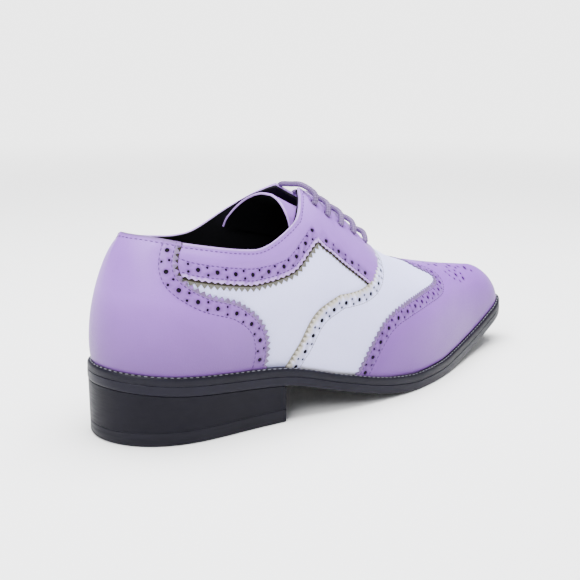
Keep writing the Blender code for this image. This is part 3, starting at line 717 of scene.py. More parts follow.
# Large holes with slightly slanted pairs between them, on a line inside the edge
def brogueHoles(side, line, outside, start, end, pairFirst=False, odd=0, **changes):
    form = dict(brogue, **changes)
    middle = beside(side, line, -outside * form["middle"])
    middle = trimmed(side, middle, start, end)
    run = lengths(onWall(side, middle))
    steps = 2 * round((run[-1] / form["pitch"] * 2 - odd) / 2) + odd
    places = spacedOut(middle, np.linspace(0, run[-1], steps + 1), run)
    along, away, _ = directions(side, places)
    holes = []
    for i, place in enumerate(places):
        if (i % 2 == 0) != pairFirst:
            holes.append((*place, brogue["large"]))
            continue
        for sign in (-1, 1):
            move = away[i] * sign * form["across"] + along[i] * sign * form["slant"]
            holes.append((*slide(side, place[None], move[None])[0], brogue["small"]))
    return holes


stitchGuides = {"lavender": [], "white": [], "welt": []}
holeGuides = []
heights = dict(collarTop=1.25 * mm, collarFoot=0.2 * mm, counterTop=1.85 * mm, counterFoot=0.35 * mm,
               vampTop=1.75 * mm, vampFoot=0.3 * mm, wingTop=3.15 * mm, wingFoot=1.55 * mm,
               thread=0.02 * mm, holeFloor=0.55 * mm)


def stitchOn(thread, side, rows, top):
    for line in rows:
        fine = evenly(side, line, 1.0 * mm)
        _, normal = wallFrame(side, fine)
        height = top - cutting["groove"] + heights["thread"]
        stitchGuides[thread].append((onWall(side, fine, height), normal))


def sinkHoles(side, holes, top):
    for station, rise, radius in holes:
        place = np.array([(station, rise)])
        _, normal = wallFrame(side, place)
        holeGuides.append((onWall(side, place, top - heights["holeFloor"])[0], normal[0], radius))


def insideRows(rows, outline):
    kept = [line[insideOf(outline * flatScale, line * flatScale)] for line in rows]
    return [line for line in kept if len(line) > 3]


# No grid point lies nearer than this to the edge's own ends
cornerGap = 0.004


def frontOutline(edge):
    foot, ridge = edge[0][0], edge[-1][0]
    top = [(s, 1.0) for s in gridStations if s > ridge + cornerGap]
    toe = [(1.0, r) for r in gridRises[-2:0:-1]]
    sole = [(s, 0.0) for s in gridStations[::-1] if s > foot + cornerGap]
    return np.concatenate([edge, top, toe, sole])


def rearOutline(edge):
    foot, collar = edge[0][0], edge[-1][0]
    top = [(s, 1.0) for s in gridStations[::-1] if s < collar - cornerGap]
    back = [(0.0, r) for r in gridRises[-2:0:-1]]
    sole = [(s, 0.0) for s in gridStations if s < foot - cornerGap]
    return np.concatenate([edge, top, back, sole])


def topEdge(first, last, count):
    return np.array([(s, 1.0) for s in np.linspace(first, last, count)])


# Holes of the toe's medallion as station and rise, the same on both sides of the ridge
medallion = dict(
    large=[(0.864, 0.635), (0.879, 0.568), (0.942, 0.730), (0.902, 0.850), (0.846, 0.850)],
    small=[(0.889, 0.640), (0.882, 0.705), (0.840, 0.588), (0.833, 0.640), (0.856, 0.545), (0.834, 0.694),
           (0.858, 0.708), (0.822, 0.860), (0.926, 0.785), (0.947, 0.640), (0.874, 0.790), (0.905, 0.760),
           (0.874, 0.920), (0.920, 0.925), (0.830, 0.940)])
medallionHoles = [(*place, brogue[size]) for size in ("large", "small") for place in medallion[size]]

# The leathers of two halves. outside is +1 where the leather lies behind its edge; start and end are
# where the large holes stop before the edge's ends, and bands has the rows of a shaded band
bandRows = (brogue["outerRow"], brogue["innerRow"])
bandWidth = bandRows[1] - bandRows[0]
rimInset = 1.3 * mm
counterForm = dict(outside=1, pitch=3.2 * mm, depth=1.9 * mm, rows=bandRows, banded=True, start=6.0 * mm,
                   end=5.4 * mm, holes={}, topRow=(0.001, 0.128, 60), roll=0.0)
vampForm = dict(outside=-1, pitch=2.6 * mm, depth=1.5 * mm, rows=(6.2 * mm,), banded=False, start=2.4 * mm,
                end=2.6 * mm, holes=dict(middle=3.7 * mm, across=1.35 * mm, pitch=8.6 * mm))
wingForm = dict(outside=-1, pitch=3.0 * mm, depth=1.5 * mm, rows=bandRows, banded=True, start=3.0 * mm,
                end=4.6 * mm, holes=dict(pitch=8.9 * mm, middle=4.5 * mm), more=medallionHoles)


def makeLeather(edge, form, outlineOf, thread, finish, slot, node):
    line, outside, top = edges[edge], form["outside"], heights[edge + "Top"]
    halves = []
    for side in (lateral, medial):
        outline = outlineOf(pinked(side, line, outside, form["pitch"], form["depth"]))
        rows = insideRows([beside(side, line, -outside * row) for row in form["rows"]], outline)
        bands = [(*rows, bandWidth)] if form["banded"] else []
        rims = insideRows([beside(side, line, -outside * rimInset)], outline) if form["banded"] else []
        if "topRow" in form:
            rows.append(beside(side, topEdge(*form["topRow"]), brogue["topRow"]))
        holes = brogueHoles(side, line, outside, form["start"], form["end"], **form["holes"])
        holes += form.get("more", [])
        half = cutHalf(side, outline, holes, rows, rims, top, heights[edge + "Foot"], bands)
        halves.append((side, half))
        stitchOn(thread, side, rows, top)
        sinkHoles(side, holes, top)
    hold(closeShell(edge + "Leather", halves, finishes[finish], form.get("roll")), slot, node)


# Collar band and facing: one leather on each side, from under the counter to under the vamp
collarForm = dict(
    under=0.010, rearFrom=0.70, rearCorner=0.752, frontFrom=0.465, frontCorner=0.452, frontTo=0.985,
    topFrom=0.003, topTo=0.596, throat=0.599, corner=(0.423, 0.702), innerTo=0.400, pressedFrom=0.412,
    eyelet=2.1 * mm, collarTeeth=(3.2 * mm, 0.9 * mm), facingTeeth=(2.4 * mm, 0.7 * mm),
    # where each run of holes starts and ends, and what differs from the other bands
    collarRun=(5.2 * mm, 0.6 * mm), collarHoles=dict(pairFirst=True, odd=1, pitch=9.6 * mm),
    facingRun=(3.6 * mm, 4.4 * mm), facingHoles=dict(middle=3.3 * mm, across=1.3 * mm, pitch=9.8 * mm),
    # roll gives the folded top edge 0.7 of the light rim colour: a painted highlight
    facingRow=1.2 * mm, pressed=5.8 * mm, topRow=(0.125, 0.59, 240), roll=0.7)


def makeCollar(side, name, node):
    form, collar, facingEdge = collarForm, edges["collar"], edges["facing"]
    lower = np.concatenate([pinked(side, collar, 1, *form["collarTeeth"])[:-1],
                            pinked(side, facingEdge, 1, *form["facingTeeth"])])
    rear = np.array([(s - form["under"], r) for s, r in edges["counter"] if r > form["rearFrom"]][::-4])
    front = np.array([(s + form["under"], r) for s, r in edges["vamp"] if r > form["frontFrom"]][::4])
    lower = np.concatenate([[(rear[-1][0], form["rearCorner"])], lower, [(front[0][0], form["frontCorner"])]])
    top = np.array([(s, 1.0) for s in gridStations[::-1] if rear[0][0] + form["topFrom"] < s < form["topTo"]])
    front = front[front[:, 1] < form["frontTo"]]
    outline = np.concatenate([rear[:-1], lower, front, [(form["throat"], 1.0)], top])
    outerRows = [beside(side, collar, -brogue["outerRow"]), beside(side, facingEdge, -form["facingRow"])]
    innerRow = beside(side, collar, -brogue["innerRow"])
    pressed = beside(side, facingEdge, -form["pressed"])
    topRow = beside(side, topEdge(*form["topRow"]), brogue["topRow"])
    rows = insideRows(outerRows + [innerRow[innerRow[:, 0] < form["innerTo"]], topRow], outline)
    pressed = insideRows([pressed[pressed[:, 0] > form["pressedFrom"]]], outline)
    beyond = smoothLine(np.concatenate([collar[::16], [form["corner"]]]), 8)
    holes = brogueHoles(side, beyond, 1, *form["collarRun"], **form["collarHoles"])
    holes += brogueHoles(side, facingEdge, 1, *form["facingRun"], **form["facingHoles"])
    keep = insideOf(outline * flatScale, np.array([h[:2] for h in holes]) * flatScale)
    holes = [h for h, inside in zip(holes, keep) if inside] + [(s, r, form["eyelet"]) for s, r in eyelets]
    bands = [(outerRows[0], innerRow, bandWidth),
             (outerRows[1], pressed[0], form["pressed"] - form["facingRow"])]
    top = heights["collarTop"]
    half = cutHalf(side, outline, holes, rows + pressed, [], top, heights["collarFoot"], bands)
    stitchOn("lavender", side, rows, top)
    sinkHoles(side, holes, top)
    hold(closeShell(name, [(side, half)], finishes["collar"], form["roll"]), "lavender_leather", node)


# Quarters, the white outer wall, and the black lining inside it
quarters = dict(stations=170, rises=44, whole=0.30 * mm, lining=1.25 * mm, gap=0.05 * mm, topRise=0.985)


def wallShell(name, finish, outer, inner, topRise):
    points, faces, lowShades = [], [], []
    stations = np.linspace(0, 1, quarters["stations"] + 1)
    grid = {}
    for layer, out in enumerate((outer, inner)):
        for side in (lateral, medial):
            for i, s in enumerate(stations):
                seamed = s >= shoe["throat"]
                rises = np.linspace(0, 1 if seamed else topRise, quarters["rises"] + 1)
                rows = onWall(side, np.column_stack([np.full(len(rises), s), rises]), out)
                for j, point in enumerate(rows):
                    if side == medial and (i in (0, len(stations) - 1) or (seamed and j == len(rows) - 1)):
                        grid[layer, side, i, j] = grid[layer, lateral, i, j]
                        continue
                    grid[layer, side, i, j] = len(points)
                    points.append(point)
                    # painted shade on the quarters, darker low on the wall
                    lowShades.append(lowShade(rises[j]))
    last = quarters["rises"]
    for side in (lateral, medial):
        for i in range(len(stations) - 1):
            for j in range(last):
                for layer, flip in enumerate((side == medial, side == lateral)):
                    quad = [grid[layer, side, i, j], grid[layer, side, i + 1, j],
                            grid[layer, side, i + 1, j + 1], grid[layer, side, i, j + 1]]
                    faces.append(quad[::-1] if flip else quad)
            for j, away in ((0, False), (last, True)):
                if away and stations[i] >= shoe["throat"]:
                    continue
                quad = [grid[0, side, i, j], grid[1, side, i, j], grid[1, side, i + 1, j],
                        grid[0, side, i + 1, j]]
                faces.append(quad if away == (side == medial) else quad[::-1])
    faces = [withoutRepeats(quad) for quad in faces]
    plain = np.zeros(len(points))
    return meshPiece(name, points, [quad for quad in faces if len(quad) > 2], finish, 60,
                     dict(rim=plain, low=np.array(lowShades), hole=plain))


makeLeather("counter", counterForm, rearOutline, "lavender", "lavender", "lavender_leather", "counter")
makeLeather("vamp", vampForm, frontOutline, "white", "white", "white_leather", "vamp")
makeLeather("wing", wingForm, frontOutline, "lavender", "wing", "lavender_leather", "wing_cap")
makeCollar(lateral, "collarLateral", "collar_lateral")
makeCollar(medial, "collarMedial", "collar_medial")
print("leathers are cut")
liningFace = -quarters["whole"] - quarters["gap"]
hold(wallShell("quarters", finishes["white"], 0.0, -quarters["whole"], quarters["topRise"]),
     "white_leather", "upper")
hold(wallShell("shoeLining", finishes["lining"], liningFace, liningFace - quarters["lining"], 1.0),
     "lining", "upper")
print("quarters and lining are ready")


# Strips under the edges of the collar, the facing, the counter and the vamp: each from inside its edge to
# outside it, and between two heights over the wall. Those of the collar and the facing have teeth
# the olive strips and their teeth are painted shadow under these edges; the vamp's cream strip is darkened by
# painted shade
gimp = dict(strip=(-1.6 * mm, 1.05 * mm, 0.02 * mm, 0.42 * mm),
            counterStrip=(-1.5 * mm, 0.95 * mm, heights["collarTop"] - 0.5 * mm,
                          heights["collarTop"] + 0.22 * mm),
            vampReach=(-0.75 * mm, 1.4 * mm), onQuarter=(0.0, 0.40 * mm),
            onCollar=(heights["collarTop"] - 0.6 * mm, heights["collarTop"] + 0.15 * mm),
            # where the counter's strip starts and the vamp's changes its height and ends, as rises
            counterFrom=0.70, quarterTo=0.44, collarFrom=0.43, vampTo=0.985,
            softEdge=0.08 * mm, toothThick=0.30 * mm, toothStart=0.75 * mm, toothHeight=0.15 * mm,
            collar=dict(Pitch=3.2 * mm, Length=2.7 * mm, Width=4.7 * mm),
            facing=dict(Pitch=2.4 * mm, Length=1.0 * mm, Width=2.4 * mm))


def ribbon(side, line, inner, outer, low, high):
    fine = evenly(side, line, 1.5 * mm)
    corners = ((inner, low), (inner, high), (outer, high - gimp["softEdge"]), (outer, low))
    points = np.concatenate([onWall(side, beside(side, fine, offset), out) for offset, out in corners])
    count = len(fine)
    faces = []
    for k in range(4):
        a, b = k * count, (k + 1) % 4 * count
        for i in range(count - 1):
            quad = (a + i, a + i + 1, b + i + 1, b + i)
            faces.append(quad if side == medial else quad[::-1])
    for i, flip in ((0, side == medial), (count - 1, side == lateral)):
        cap = (i, count + i, 2 * count + i, 3 * count + i)
        faces.append(cap[::-1] if not flip else cap)
    return points, faces


def stripOf(name, ribbons, finish, slot):
    points, faces, first = [], [], 0
    for made, quads in ribbons:
        points.append(made)
        faces += [tuple(first + v for v in quad) for quad in quads]
        first += len(made)
    hold(meshPiece(name, np.concatenate(points), faces, finishes[finish]), slot)


def makeGimp():
    oliveShadow, creamAndShade, guides = [], [], {"collar": [], "facing": []}
    for side in (lateral, medial):
        for edge in guides:
            oliveShadow.append(ribbon(side, edges[edge], *gimp["strip"]))
            fine = evenly(side, beside(side, edges[edge], gimp["toothStart"]), 1.0 * mm)
            _, away, normal = directions(side, fine)
            guides[edge].append((onWall(side, fine, gimp["toothHeight"]), normal, away))
    counterEdge = edges["counter"][edges["counter"][:, 1] > gimp["counterFrom"]]
    vampEdge = edges["vamp"][edges["vamp"][:, 1] < gimp["vampTo"]]
    rise = vampEdge[:, 1]
    for side in (lateral, medial):
        oliveShadow.append(ribbon(side, counterEdge, *gimp["counterStrip"]))
        for part, height in ((rise < gimp["quarterTo"], "onQuarter"),
                             (rise > gimp["collarFrom"], "onCollar")):
            creamAndShade.append(ribbon(side, vampEdge[part], *gimp["vampReach"], *gimp[height]))
    stripOf("gimpStrip", oliveShadow, "oliveShadow", "lavender_leather")
    stripOf("vampStrip", creamAndShade, "creamAndShade", "white_leather")
    return guides


gimpGuides = makeGimp()


# Repeats made with Geometry Nodes
def newTree(name, inputs):
    tree = bpy.data.node_groups.new(name, "GeometryNodeTree")
    tree.interface.new_socket("Geometry", in_out="INPUT", socket_type="NodeSocketGeometry")
    for socket, value in inputs.items():
        made = tree.interface.new_socket(socket, in_out="INPUT", socket_type="NodeSocketFloat")
        made.default_value = value
    tree.interface.new_socket("Material", in_out="INPUT", socket_type="NodeSocketMaterial")
    tree.interface.new_socket("Geometry", in_out="OUTPUT", socket_type="NodeSocketGeometry")
    return tree, tree.nodes.new("NodeGroupInput").outputs, tree.nodes.new("NodeGroupOutput").inputs


def facing(tree, firstAxis, first, secondAxis, second):
    one = addNode(tree, "FunctionNodeAlignRotationToVector", {"Vector": first}, axis=firstAxis)
    two = addNode(tree, "FunctionNodeAlignRotationToVector", {"Rotation": one.outputs[0], "Vector": second},
                  axis=secondAxis, pivot_axis=firstAxis)
    return two.outputs[0]


def named(tree, name, kind="FLOAT_VECTOR"):
    node = addNode(tree, "GeometryNodeInputNamedAttribute", {"Name": name}, data_type=kind)
    return node.outputs["Attribute"]


def evenPoints(tree, start):
    curve = addNode(tree, "GeometryNodeMeshToCurve", {"Mesh": start["Geometry"]}).outputs[0]
    return addNode(tree, "GeometryNodeResampleCurve", {"Curve": curve, "Length": start["Pitch"]},
                   mode="LENGTH").outputs[0]


def placeEach(tree, start, end, points, shape, turn, sizes, smooth):
    size = addNode(tree, "ShaderNodeCombineXYZ", dict(enumerate(sizes))).outputs[0]
    made = addNode(tree, "GeometryNodeInstanceOnPoints", {
        "Points": points, "Instance": shape, "Rotation": turn, "Scale": size}).outputs[0]
    made = addNode(tree, "GeometryNodeRealizeInstances", {"Geometry": made}).outputs[0]
    if smooth:
        made = addNode(tree, "GeometryNodeSetShadeSmooth", {"Geometry": made}).outputs[0]
    made = addNode(tree, "GeometryNodeSetMaterial", {"Geometry": made, "Material": start["Material"]})
    tree.links.new(made.outputs[0], end["Geometry"])
    return tree


# Stitches follow guide lines: each is a small rounded bar lying along the row
def stitchTree():
    tree, start, end = newTree("stitchRow", dict(Pitch=2.4 * mm, Length=1.8 * mm, Width=0.6 * mm,
                                                 Height=0.4 * mm))
    bar = addNode(tree, "GeometryNodeMeshUVSphere", {"Segments": 6, "Rings": 4, "Radius": 0.5}).outputs[0]
    tangent = addNode(tree, "GeometryNodeInputTangent").outputs[0]
    turn = facing(tree, "Z", tangent, "Y", named(tree, "outward"))
    return placeEach(tree, start, end, evenPoints(tree, start), bar, turn,
                     (start["Width"], start["Height"], start["Length"]), True)


# Small flat teeth that point away from an edge
def toothTree():
    tree, start, end = newTree("gimpTeeth", dict(Pitch=3.2 * mm, Length=2.0 * mm, Width=3.0 * mm,
                                                 Thickness=0.3 * mm))
    wedge = addNode(tree, "GeometryNodeMeshCylinder", {"Vertices": 3, "Radius": 1.0, "Depth": 1.0})
    # a triangle one wide and one long, with its base on the edge
    centred = addNode(tree, "GeometryNodeTransform", {
        "Geometry": wedge.outputs["Mesh"], "Translation": (0.333, 0.0, 0.0), "Scale": (0.667, 0.577, 1.0)})
    turn = facing(tree, "X", named(tree, "away"), "Z", named(tree, "outward"))
    return placeEach(tree, start, end, evenPoints(tree, start), centred.outputs[0], turn,
                     (start["Length"], start["Width"], start["Thickness"]), False)


# Dark floors in the punched holes, each as wide as its hole: near black, partly a dark backing and partly
# painted shade inside the hole
def holeTree():
    tree, start, end = newTree("holeFloors", dict(Depth=0.5 * mm, Spare=1.05))
    plug = addNode(tree, "GeometryNodeMeshCylinder", {"Vertices": 10, "Radius": 1.0, "Depth": 1.0})
    lowered = addNode(tree, "GeometryNodeTransform", {"Geometry": plug.outputs["Mesh"],
                                                      "Translation": (0.0, 0.0, -0.5)})
    wide = addNode(tree, "ShaderNodeMath", {0: named(tree, "radius", "FLOAT"), 1: start["Spare"]},
                   operation="MULTIPLY").outputs[0]
    turn = addNode(tree, "FunctionNodeAlignRotationToVector", {"Vector": named(tree, "outward")}, axis="Z")
    return placeEach(tree, start, end, start["Geometry"], lowered.outputs[0], turn.outputs[0],
                     (wide, wide, start["Depth"]), False)


# Guide lines or single points, with what turns or sizes each repeat
def guideMesh(name, lines, marks):
    joins, first = [], 0
    for line in lines:
        joins += [(first + i, first + i + 1) for i in range(len(line[0]) - 1)]
        first += len(line[0])
    mesh = bpy.data.meshes.new(name)
    mesh.from_pydata(np.concatenate([line[0] for line in lines]).tolist(), joins, [])
    for k, mark in enumerate(marks, 1):
        values = np.concatenate([line[k] for line in lines]).astype(np.float32)
        kind, field = ("FLOAT_VECTOR", "vector") if values.ndim == 2 else ("FLOAT", "value")
        mesh.attributes.new(mark, kind, "POINT").data.foreach_set(field, values.ravel())
    return newObject(name, mesh)


def repeated(guide, name, tree, values, finish, slot):
    change = guide.modifiers.new("repeat", "NODES")
    change.node_group = tree
    values = dict(values, Material=finishes[finish])
    for item in tree.interface.items_tree:
        if item.in_out == "INPUT" and item.name in values:
            change[item.identifier] = values[item.name]
    bpy.context.view_layer.update()
    evaluated = guide.evaluated_get(bpy.context.evaluated_depsgraph_get())
    mesh = bpy.data.meshes.new_from_object(evaluated)
    mesh.name = name
    for attribute in [a.name for a in mesh.attributes if a.name in ("outward", "away", "radius")]:
        mesh.attributes.remove(mesh.attributes[attribute])
    guide.modifiers.remove(change)
    bpy.data.objects.remove(guide)
    hold(newObject(name, mesh), slot)


# Welt stitches lie on the welt's top, all round
weltSeam = dict(inset=1.75 * mm, lift=0.05 * mm, points=500)
loop = []
for side, order in ((lateral, 1), (medial, -1)):
    stations = np.linspace(0, 1, weltSeam["points"])
    flat, _ = edgeAt(side, stations, np.full(len(stations), weltSeam["inset"]))
    ring = np.column_stack([flat, underside(flat[:, 0]) + band + weltSeam["lift"]]) + homeShift
    loop.append(ring[::order])
loop = np.concatenate([loop[0], loop[1][1:]])
stitchGuides["welt"].append((loop, np.tile([0.0, 0.0, 1.0], (len(loop), 1))))

threads = dict(
    lavender=("lavender_leather", dict(Pitch=2.4 * mm, Length=1.75 * mm, Width=0.55 * mm, Height=0.45 * mm)),
    white=("white_leather", dict(Pitch=1.8 * mm, Length=1.8 * mm, Width=0.36 * mm, Height=0.40 * mm)),
    welt=("welt", dict(Pitch=3.1 * mm, Length=1.9 * mm, Width=0.70 * mm, Height=0.45 * mm)))
stitch = stitchTree()
for thread, (slot, values) in threads.items():
    guide = guideMesh(thread + "Guide", stitchGuides[thread], ["outward"])
    repeated(guide, thread + "Stitches", stitch, values, thread + "Thread", slot)

tooth = toothTree()
for edge, lines in gimpGuides.items():
    guide = guideMesh(edge + "TeethGuide", lines, ["outward", "away"])
    repeated(guide, edge + "Teeth", tooth, dict(gimp[edge], Thickness=gimp["toothThick"]), "shadedUnderlayTeeth",
             "lavender_leather")

holeLines = [(point[None], normal[None], np.array([radius])) for point, normal, radius in holeGuides]
repeated(guideMesh("holeGuide", holeLines, ["outward", "radius"]), "brogueHoles", holeTree(),
         dict(Depth=0.5 * mm, Spare=1.06), "dark", "lining")
print("stitches, teeth and brogue holes are made")


# Tubes along a path, such as the laces and the tongue's binding
def ringsAlong(path, radius, sides, wobble=None):
    along = np.gradient(path, axis=0)
    along /= np.linalg.norm(along, axis=1, keepdims=True)
    first = np.cross(along[0], (0.0, 0.0, 1.0))
    rings, turn = [], np.linspace(0, 2 * pi, sides, endpoint=False)
    for i, (point, ahead) in enumerate(zip(path, along)):
        first = first / np.linalg.norm(first)
        first = first - ahead * first.dot(ahead)
        first /= np.linalg.norm(first)
        second = np.cross(ahead, first)
        size = radius * (wobble[i] if wobble is not None else 1)
        rings.append(point + (np.cos(turn) * size)[:, None] * first + (np.sin(turn) * size)[:, None] * second)
    return np.array(rings)


def tube(name, rings, finish, sharp, marks):
    count, sides = rings.shape[:2]
    faces = []
    for i in range(count - 1):
        for j in range(sides):
            k = (j + 1) % sides
            faces.append((i * sides + j, i * sides + k, (i + 1) * sides + k, (i + 1) * sides + j))
    faces.append(tuple(range(sides))[::-1])
    faces.append(tuple((count - 1) * sides + j for j in range(sides)))
    return meshPiece(name, rings.reshape(-1, 3), faces, finish, sharp, marks)


# Tongue: an arch of leather under the laces with a bound edge
tongue = dict(depth=2.3 * mm, thick=1.5 * mm, rows=64, width=48,
              binding=0.62 * mm, bindingSides=12, bindingRim=0.6,
              # the free end's top edge: height over its width from the outer end to the inner one
              arch=((-25.0, 93.5), (-21.0, 102.4), (-17.0, 106.9), (-12.0, 110.0), (-6.0, 111.4),
                    (0.0, 111.3), (6.0, 110.1), (12.0, 107.7), (18.0, 103.4), (22.5, 98.6), (25.5, 94.2),
                    (26.8, 90.5)),
              topX=0.1025, topBend=10.0 * mm, bendOver=30 * mm, topShare=0.30, reach=2.2,
              # from the first station it runs under the facings to the last, and sags before sagTo
              firstStation=0.47, lastStation=0.595, sagTo=0.56, crownDrop=5.5 * mm,
              firstRise=0.60, lastRise=0.985, crownLift=0.12,
              # the lining takes over at this share of its thickness
              leatherTo=0.55)


def tongueTop():
    edge = np.array(tongue["arch"]) * mm
    run = lengths(edge)
    wanted = np.linspace(0, run[-1], tongue["width"])
    y, z = (smoothBetween(run, edge[:, i], wanted) for i in (0, 1))
    x = tongue["topX"] - tongue["topBend"] * np.clip(y / tongue["bendOver"], 0, 1) ** 2
    return np.column_stack([x, y, z]) + homeShift


def tongueArch(station):
    rises = np.linspace(tongue["firstRise"], tongue["lastRise"], 16)
    places = np.column_stack([np.full(len(rises), station), rises])
    outer, inner = onWall(lateral, places, -tongue["depth"]), onWall(medial, places, -tongue["depth"])
    lift = (outer[-1] - outer[-3] + inner[-1] - inner[-3]) * tongue["crownLift"]
    crown = (outer[-1] + inner[-1]) / 2 + lift
    # near its free end the tongue hangs lower than the facings
    before = (tongue["sagTo"] - station) / (tongue["sagTo"] - tongue["firstStation"])
    sag = tongue["crownDrop"] * np.clip(before, 0, 1)
    weight = ((rises - rises[0]) / (rises[-1] - rises[0]))[:, None] * (0, 0, 1)
    outer, inner, crown = outer - sag * weight, inner - sag * weight, crown - (0, 0, sag)
    arch = smoothLine(np.concatenate([outer[::3], [crown], inner[::-3]]), 8)
    run = lengths(arch)
    return spacedOut(arch, np.linspace(0, run[-1], tongue["width"]), run)


def tongueSurface():
    top, under = tongueTop(), tongueArch(tongue["firstStation"])
    forward = tongueArch(tongue["firstStation"] + 0.01) - under
    surface = []
    for t in np.linspace(0, 1, tongue["rows"]):
        if t < tongue["topShare"]:
            # the free end runs smoothly out of the part under the facings
            u = t / tongue["topShare"]
            ease = u * u * (3 - 2 * u)
            surface.append(top * (1 - ease) + (under - forward * (1 - u) * tongue["reach"]) * ease)
        else:
            share = (t - tongue["topShare"]) / (1 - tongue["topShare"])
            span = tongue["lastStation"] - tongue["firstStation"]
            surface.append(tongueArch(tongue["firstStation"] + span * share))
    return np.array(surface)


def makeTongue():
    surface = tongueSurface()
    normal = np.cross(np.gradient(surface, axis=1), np.gradient(surface, axis=0))
    normal /= np.linalg.norm(normal, axis=2, keepdims=True)
    if normal[len(normal) // 2, tongue["width"] // 2, 2] < 0:
        normal = -normal
    back = surface - normal * tongue["thick"]
    rows, width = surface.shape[:2]
    count = rows * width
    rim = [i * width for i in range(rows)] + [(rows - 1) * width + j for j in range(1, width)]
    rim += [i * width + width - 1 for i in range(rows - 2, -1, -1)] + list(range(width - 2, 0, -1))
    faces = []
    for i in range(rows - 1):
        for j in range(width - 1):
            quad = (i * width + j, (i + 1) * width + j, (i + 1) * width + j + 1, i * width + j + 1)
            faces += [quad, tuple(count + v for v in quad[::-1])]
    faces += [(b, a, a + count, b + count) for a, b in zip(rim, rim[1:] + rim[:1])]
    for name, finish, slot, first, last in (
            ("tongueLeather", "lavender", "lavender_leather", 0.0, tongue["leatherTo"]),
            ("tongueLining", "lining", "lining", tongue["leatherTo"], 1.0)):
        layers = [(surface + (back - surface) * share).reshape(-1, 3) for share in (first, last)]
        hold(meshPiece(name, np.concatenate(layers), faces, finishes[finish], 50), slot, "tongue")
    # the bound edge runs over the tongue's top
    rings = ringsAlong((surface[0] + back[0]) / 2, tongue["binding"], tongue["bindingSides"])
    # painted highlight: the binding takes 0.6 of the collar's light rim colour
    marks = dict(rim=np.full(rings.size // 3, tongue["bindingRim"]))
    hold(tube("tongueBinding", rings, finishes["collar"], 60, marks), "lavender_leather")


# Laces: round braided strands, each over the throat from one eyelet to the one across
laces = dict(radius=1.42 * mm, step=0.25 * mm, sides=32, strands=4, braidPitch=5.2 * mm, relief=0.085,
             # heights over the wall inside and outside the eyelet, and how far a strand stands off there
             inside=2.2 * mm, outside=1.3 * mm, standOff=(-0.5 * mm, 1.5 * mm),
             share=0.42, shoulder=4.3 * mm, farShoulder=2.4 * mm, farLift=1.7 * mm, crown=0.3 * mm,
             # where each crosses the facing's edge ahead of its eyelet, and how high above it
             edgeHeight=0.35 * mm, edgeStation=(0.004, 0.011, 0.014, 0.014, 0.014),
             edgeLift=(3.4 * mm, 1.8 * mm, 1.5 * mm, 1.5 * mm, 1.5 * mm))


def laceRoute(number, eyelet):
    half = []
    for side, shoulder, lift in ((lateral, laces["shoulder"], laces["edgeLift"][number - 1]),
                                 (medial, laces["farShoulder"], laces["farLift"])):
        inner = onWall(side, [eyelet], -shoe["wall"] - laces["inside"])[0]
        outer = onWall(side, [eyelet], laces["outside"])[0]
        edge = onWall(side, [(eyelet[0] + laces["edgeStation"][number - 1], 1.0)], laces["edgeHeight"])[0]
        out = (outer - inner) / np.linalg.norm(outer - inner)
        over = outer * (1 - laces["share"]) + edge * laces["share"] + out * shoulder
        half.append([inner, *(outer + out * move for move in laces["standOff"]), over, edge + (0, 0, lift)])
    centre = (half[0][-1] + half[1][-1]) / 2 + (0, 0, laces["crown"])
    line = smoothLine(np.array(half[0] + [centre] + half[1][::-1]), 14)
    run = lengths(line)
    wanted = np.linspace(0, run[-1], int(run[-1] / laces["step"]) + 1)
    return spacedOut(line, wanted, run), wanted


def makeLace(number, eyelet):
    path, run = laceRoute(number, eyelet)
    turn = np.linspace(0, 2 * pi, laces["sides"], endpoint=False)
    phase = 2 * pi * run[:, None] / laces["braidPitch"] * laces["strands"] / 2
    weave = np.cos(laces["strands"] * turn + phase) * np.cos(laces["strands"] * turn - phase)
    rings = ringsAlong(path, laces["radius"], laces["sides"], 1 + laces["relief"] * weave)
    # painted shade in the braid's grooves, where the weave sinks
    marks = dict(braidShade=(0.5 + 0.5 * weave).ravel())
    hold(tube(f"laceBar{number}", rings, finishes["lace"], 70, marks), "lace", f"lace_bar_{number}")


makeTongue()
for number, eyelet in enumerate(eyelets, 1):
    makeLace(number, eyelet)
print("tongue and laces are ready")


# Sole, welt and heel: rings of the sole's outline from bottom to top
def plateRing(inset, height, ends, count):
    share = np.linspace(0, 1, count + 1)
    share = 0.5 * share + 0.5 * (0.5 - 0.5 * np.cos(pi * share))
    runs = {}
    for side in (lateral, medial):
        flat, _ = edgeAt(side, share * ends[side], np.full(count + 1, float(inset)))
        flat[0, 1] = 0
        if ends[side] == 1:
            flat[-1, 1] = 0
        runs[side] = np.column_stack([flat, height(flat[:, 0])]) + homeShift
    return runs


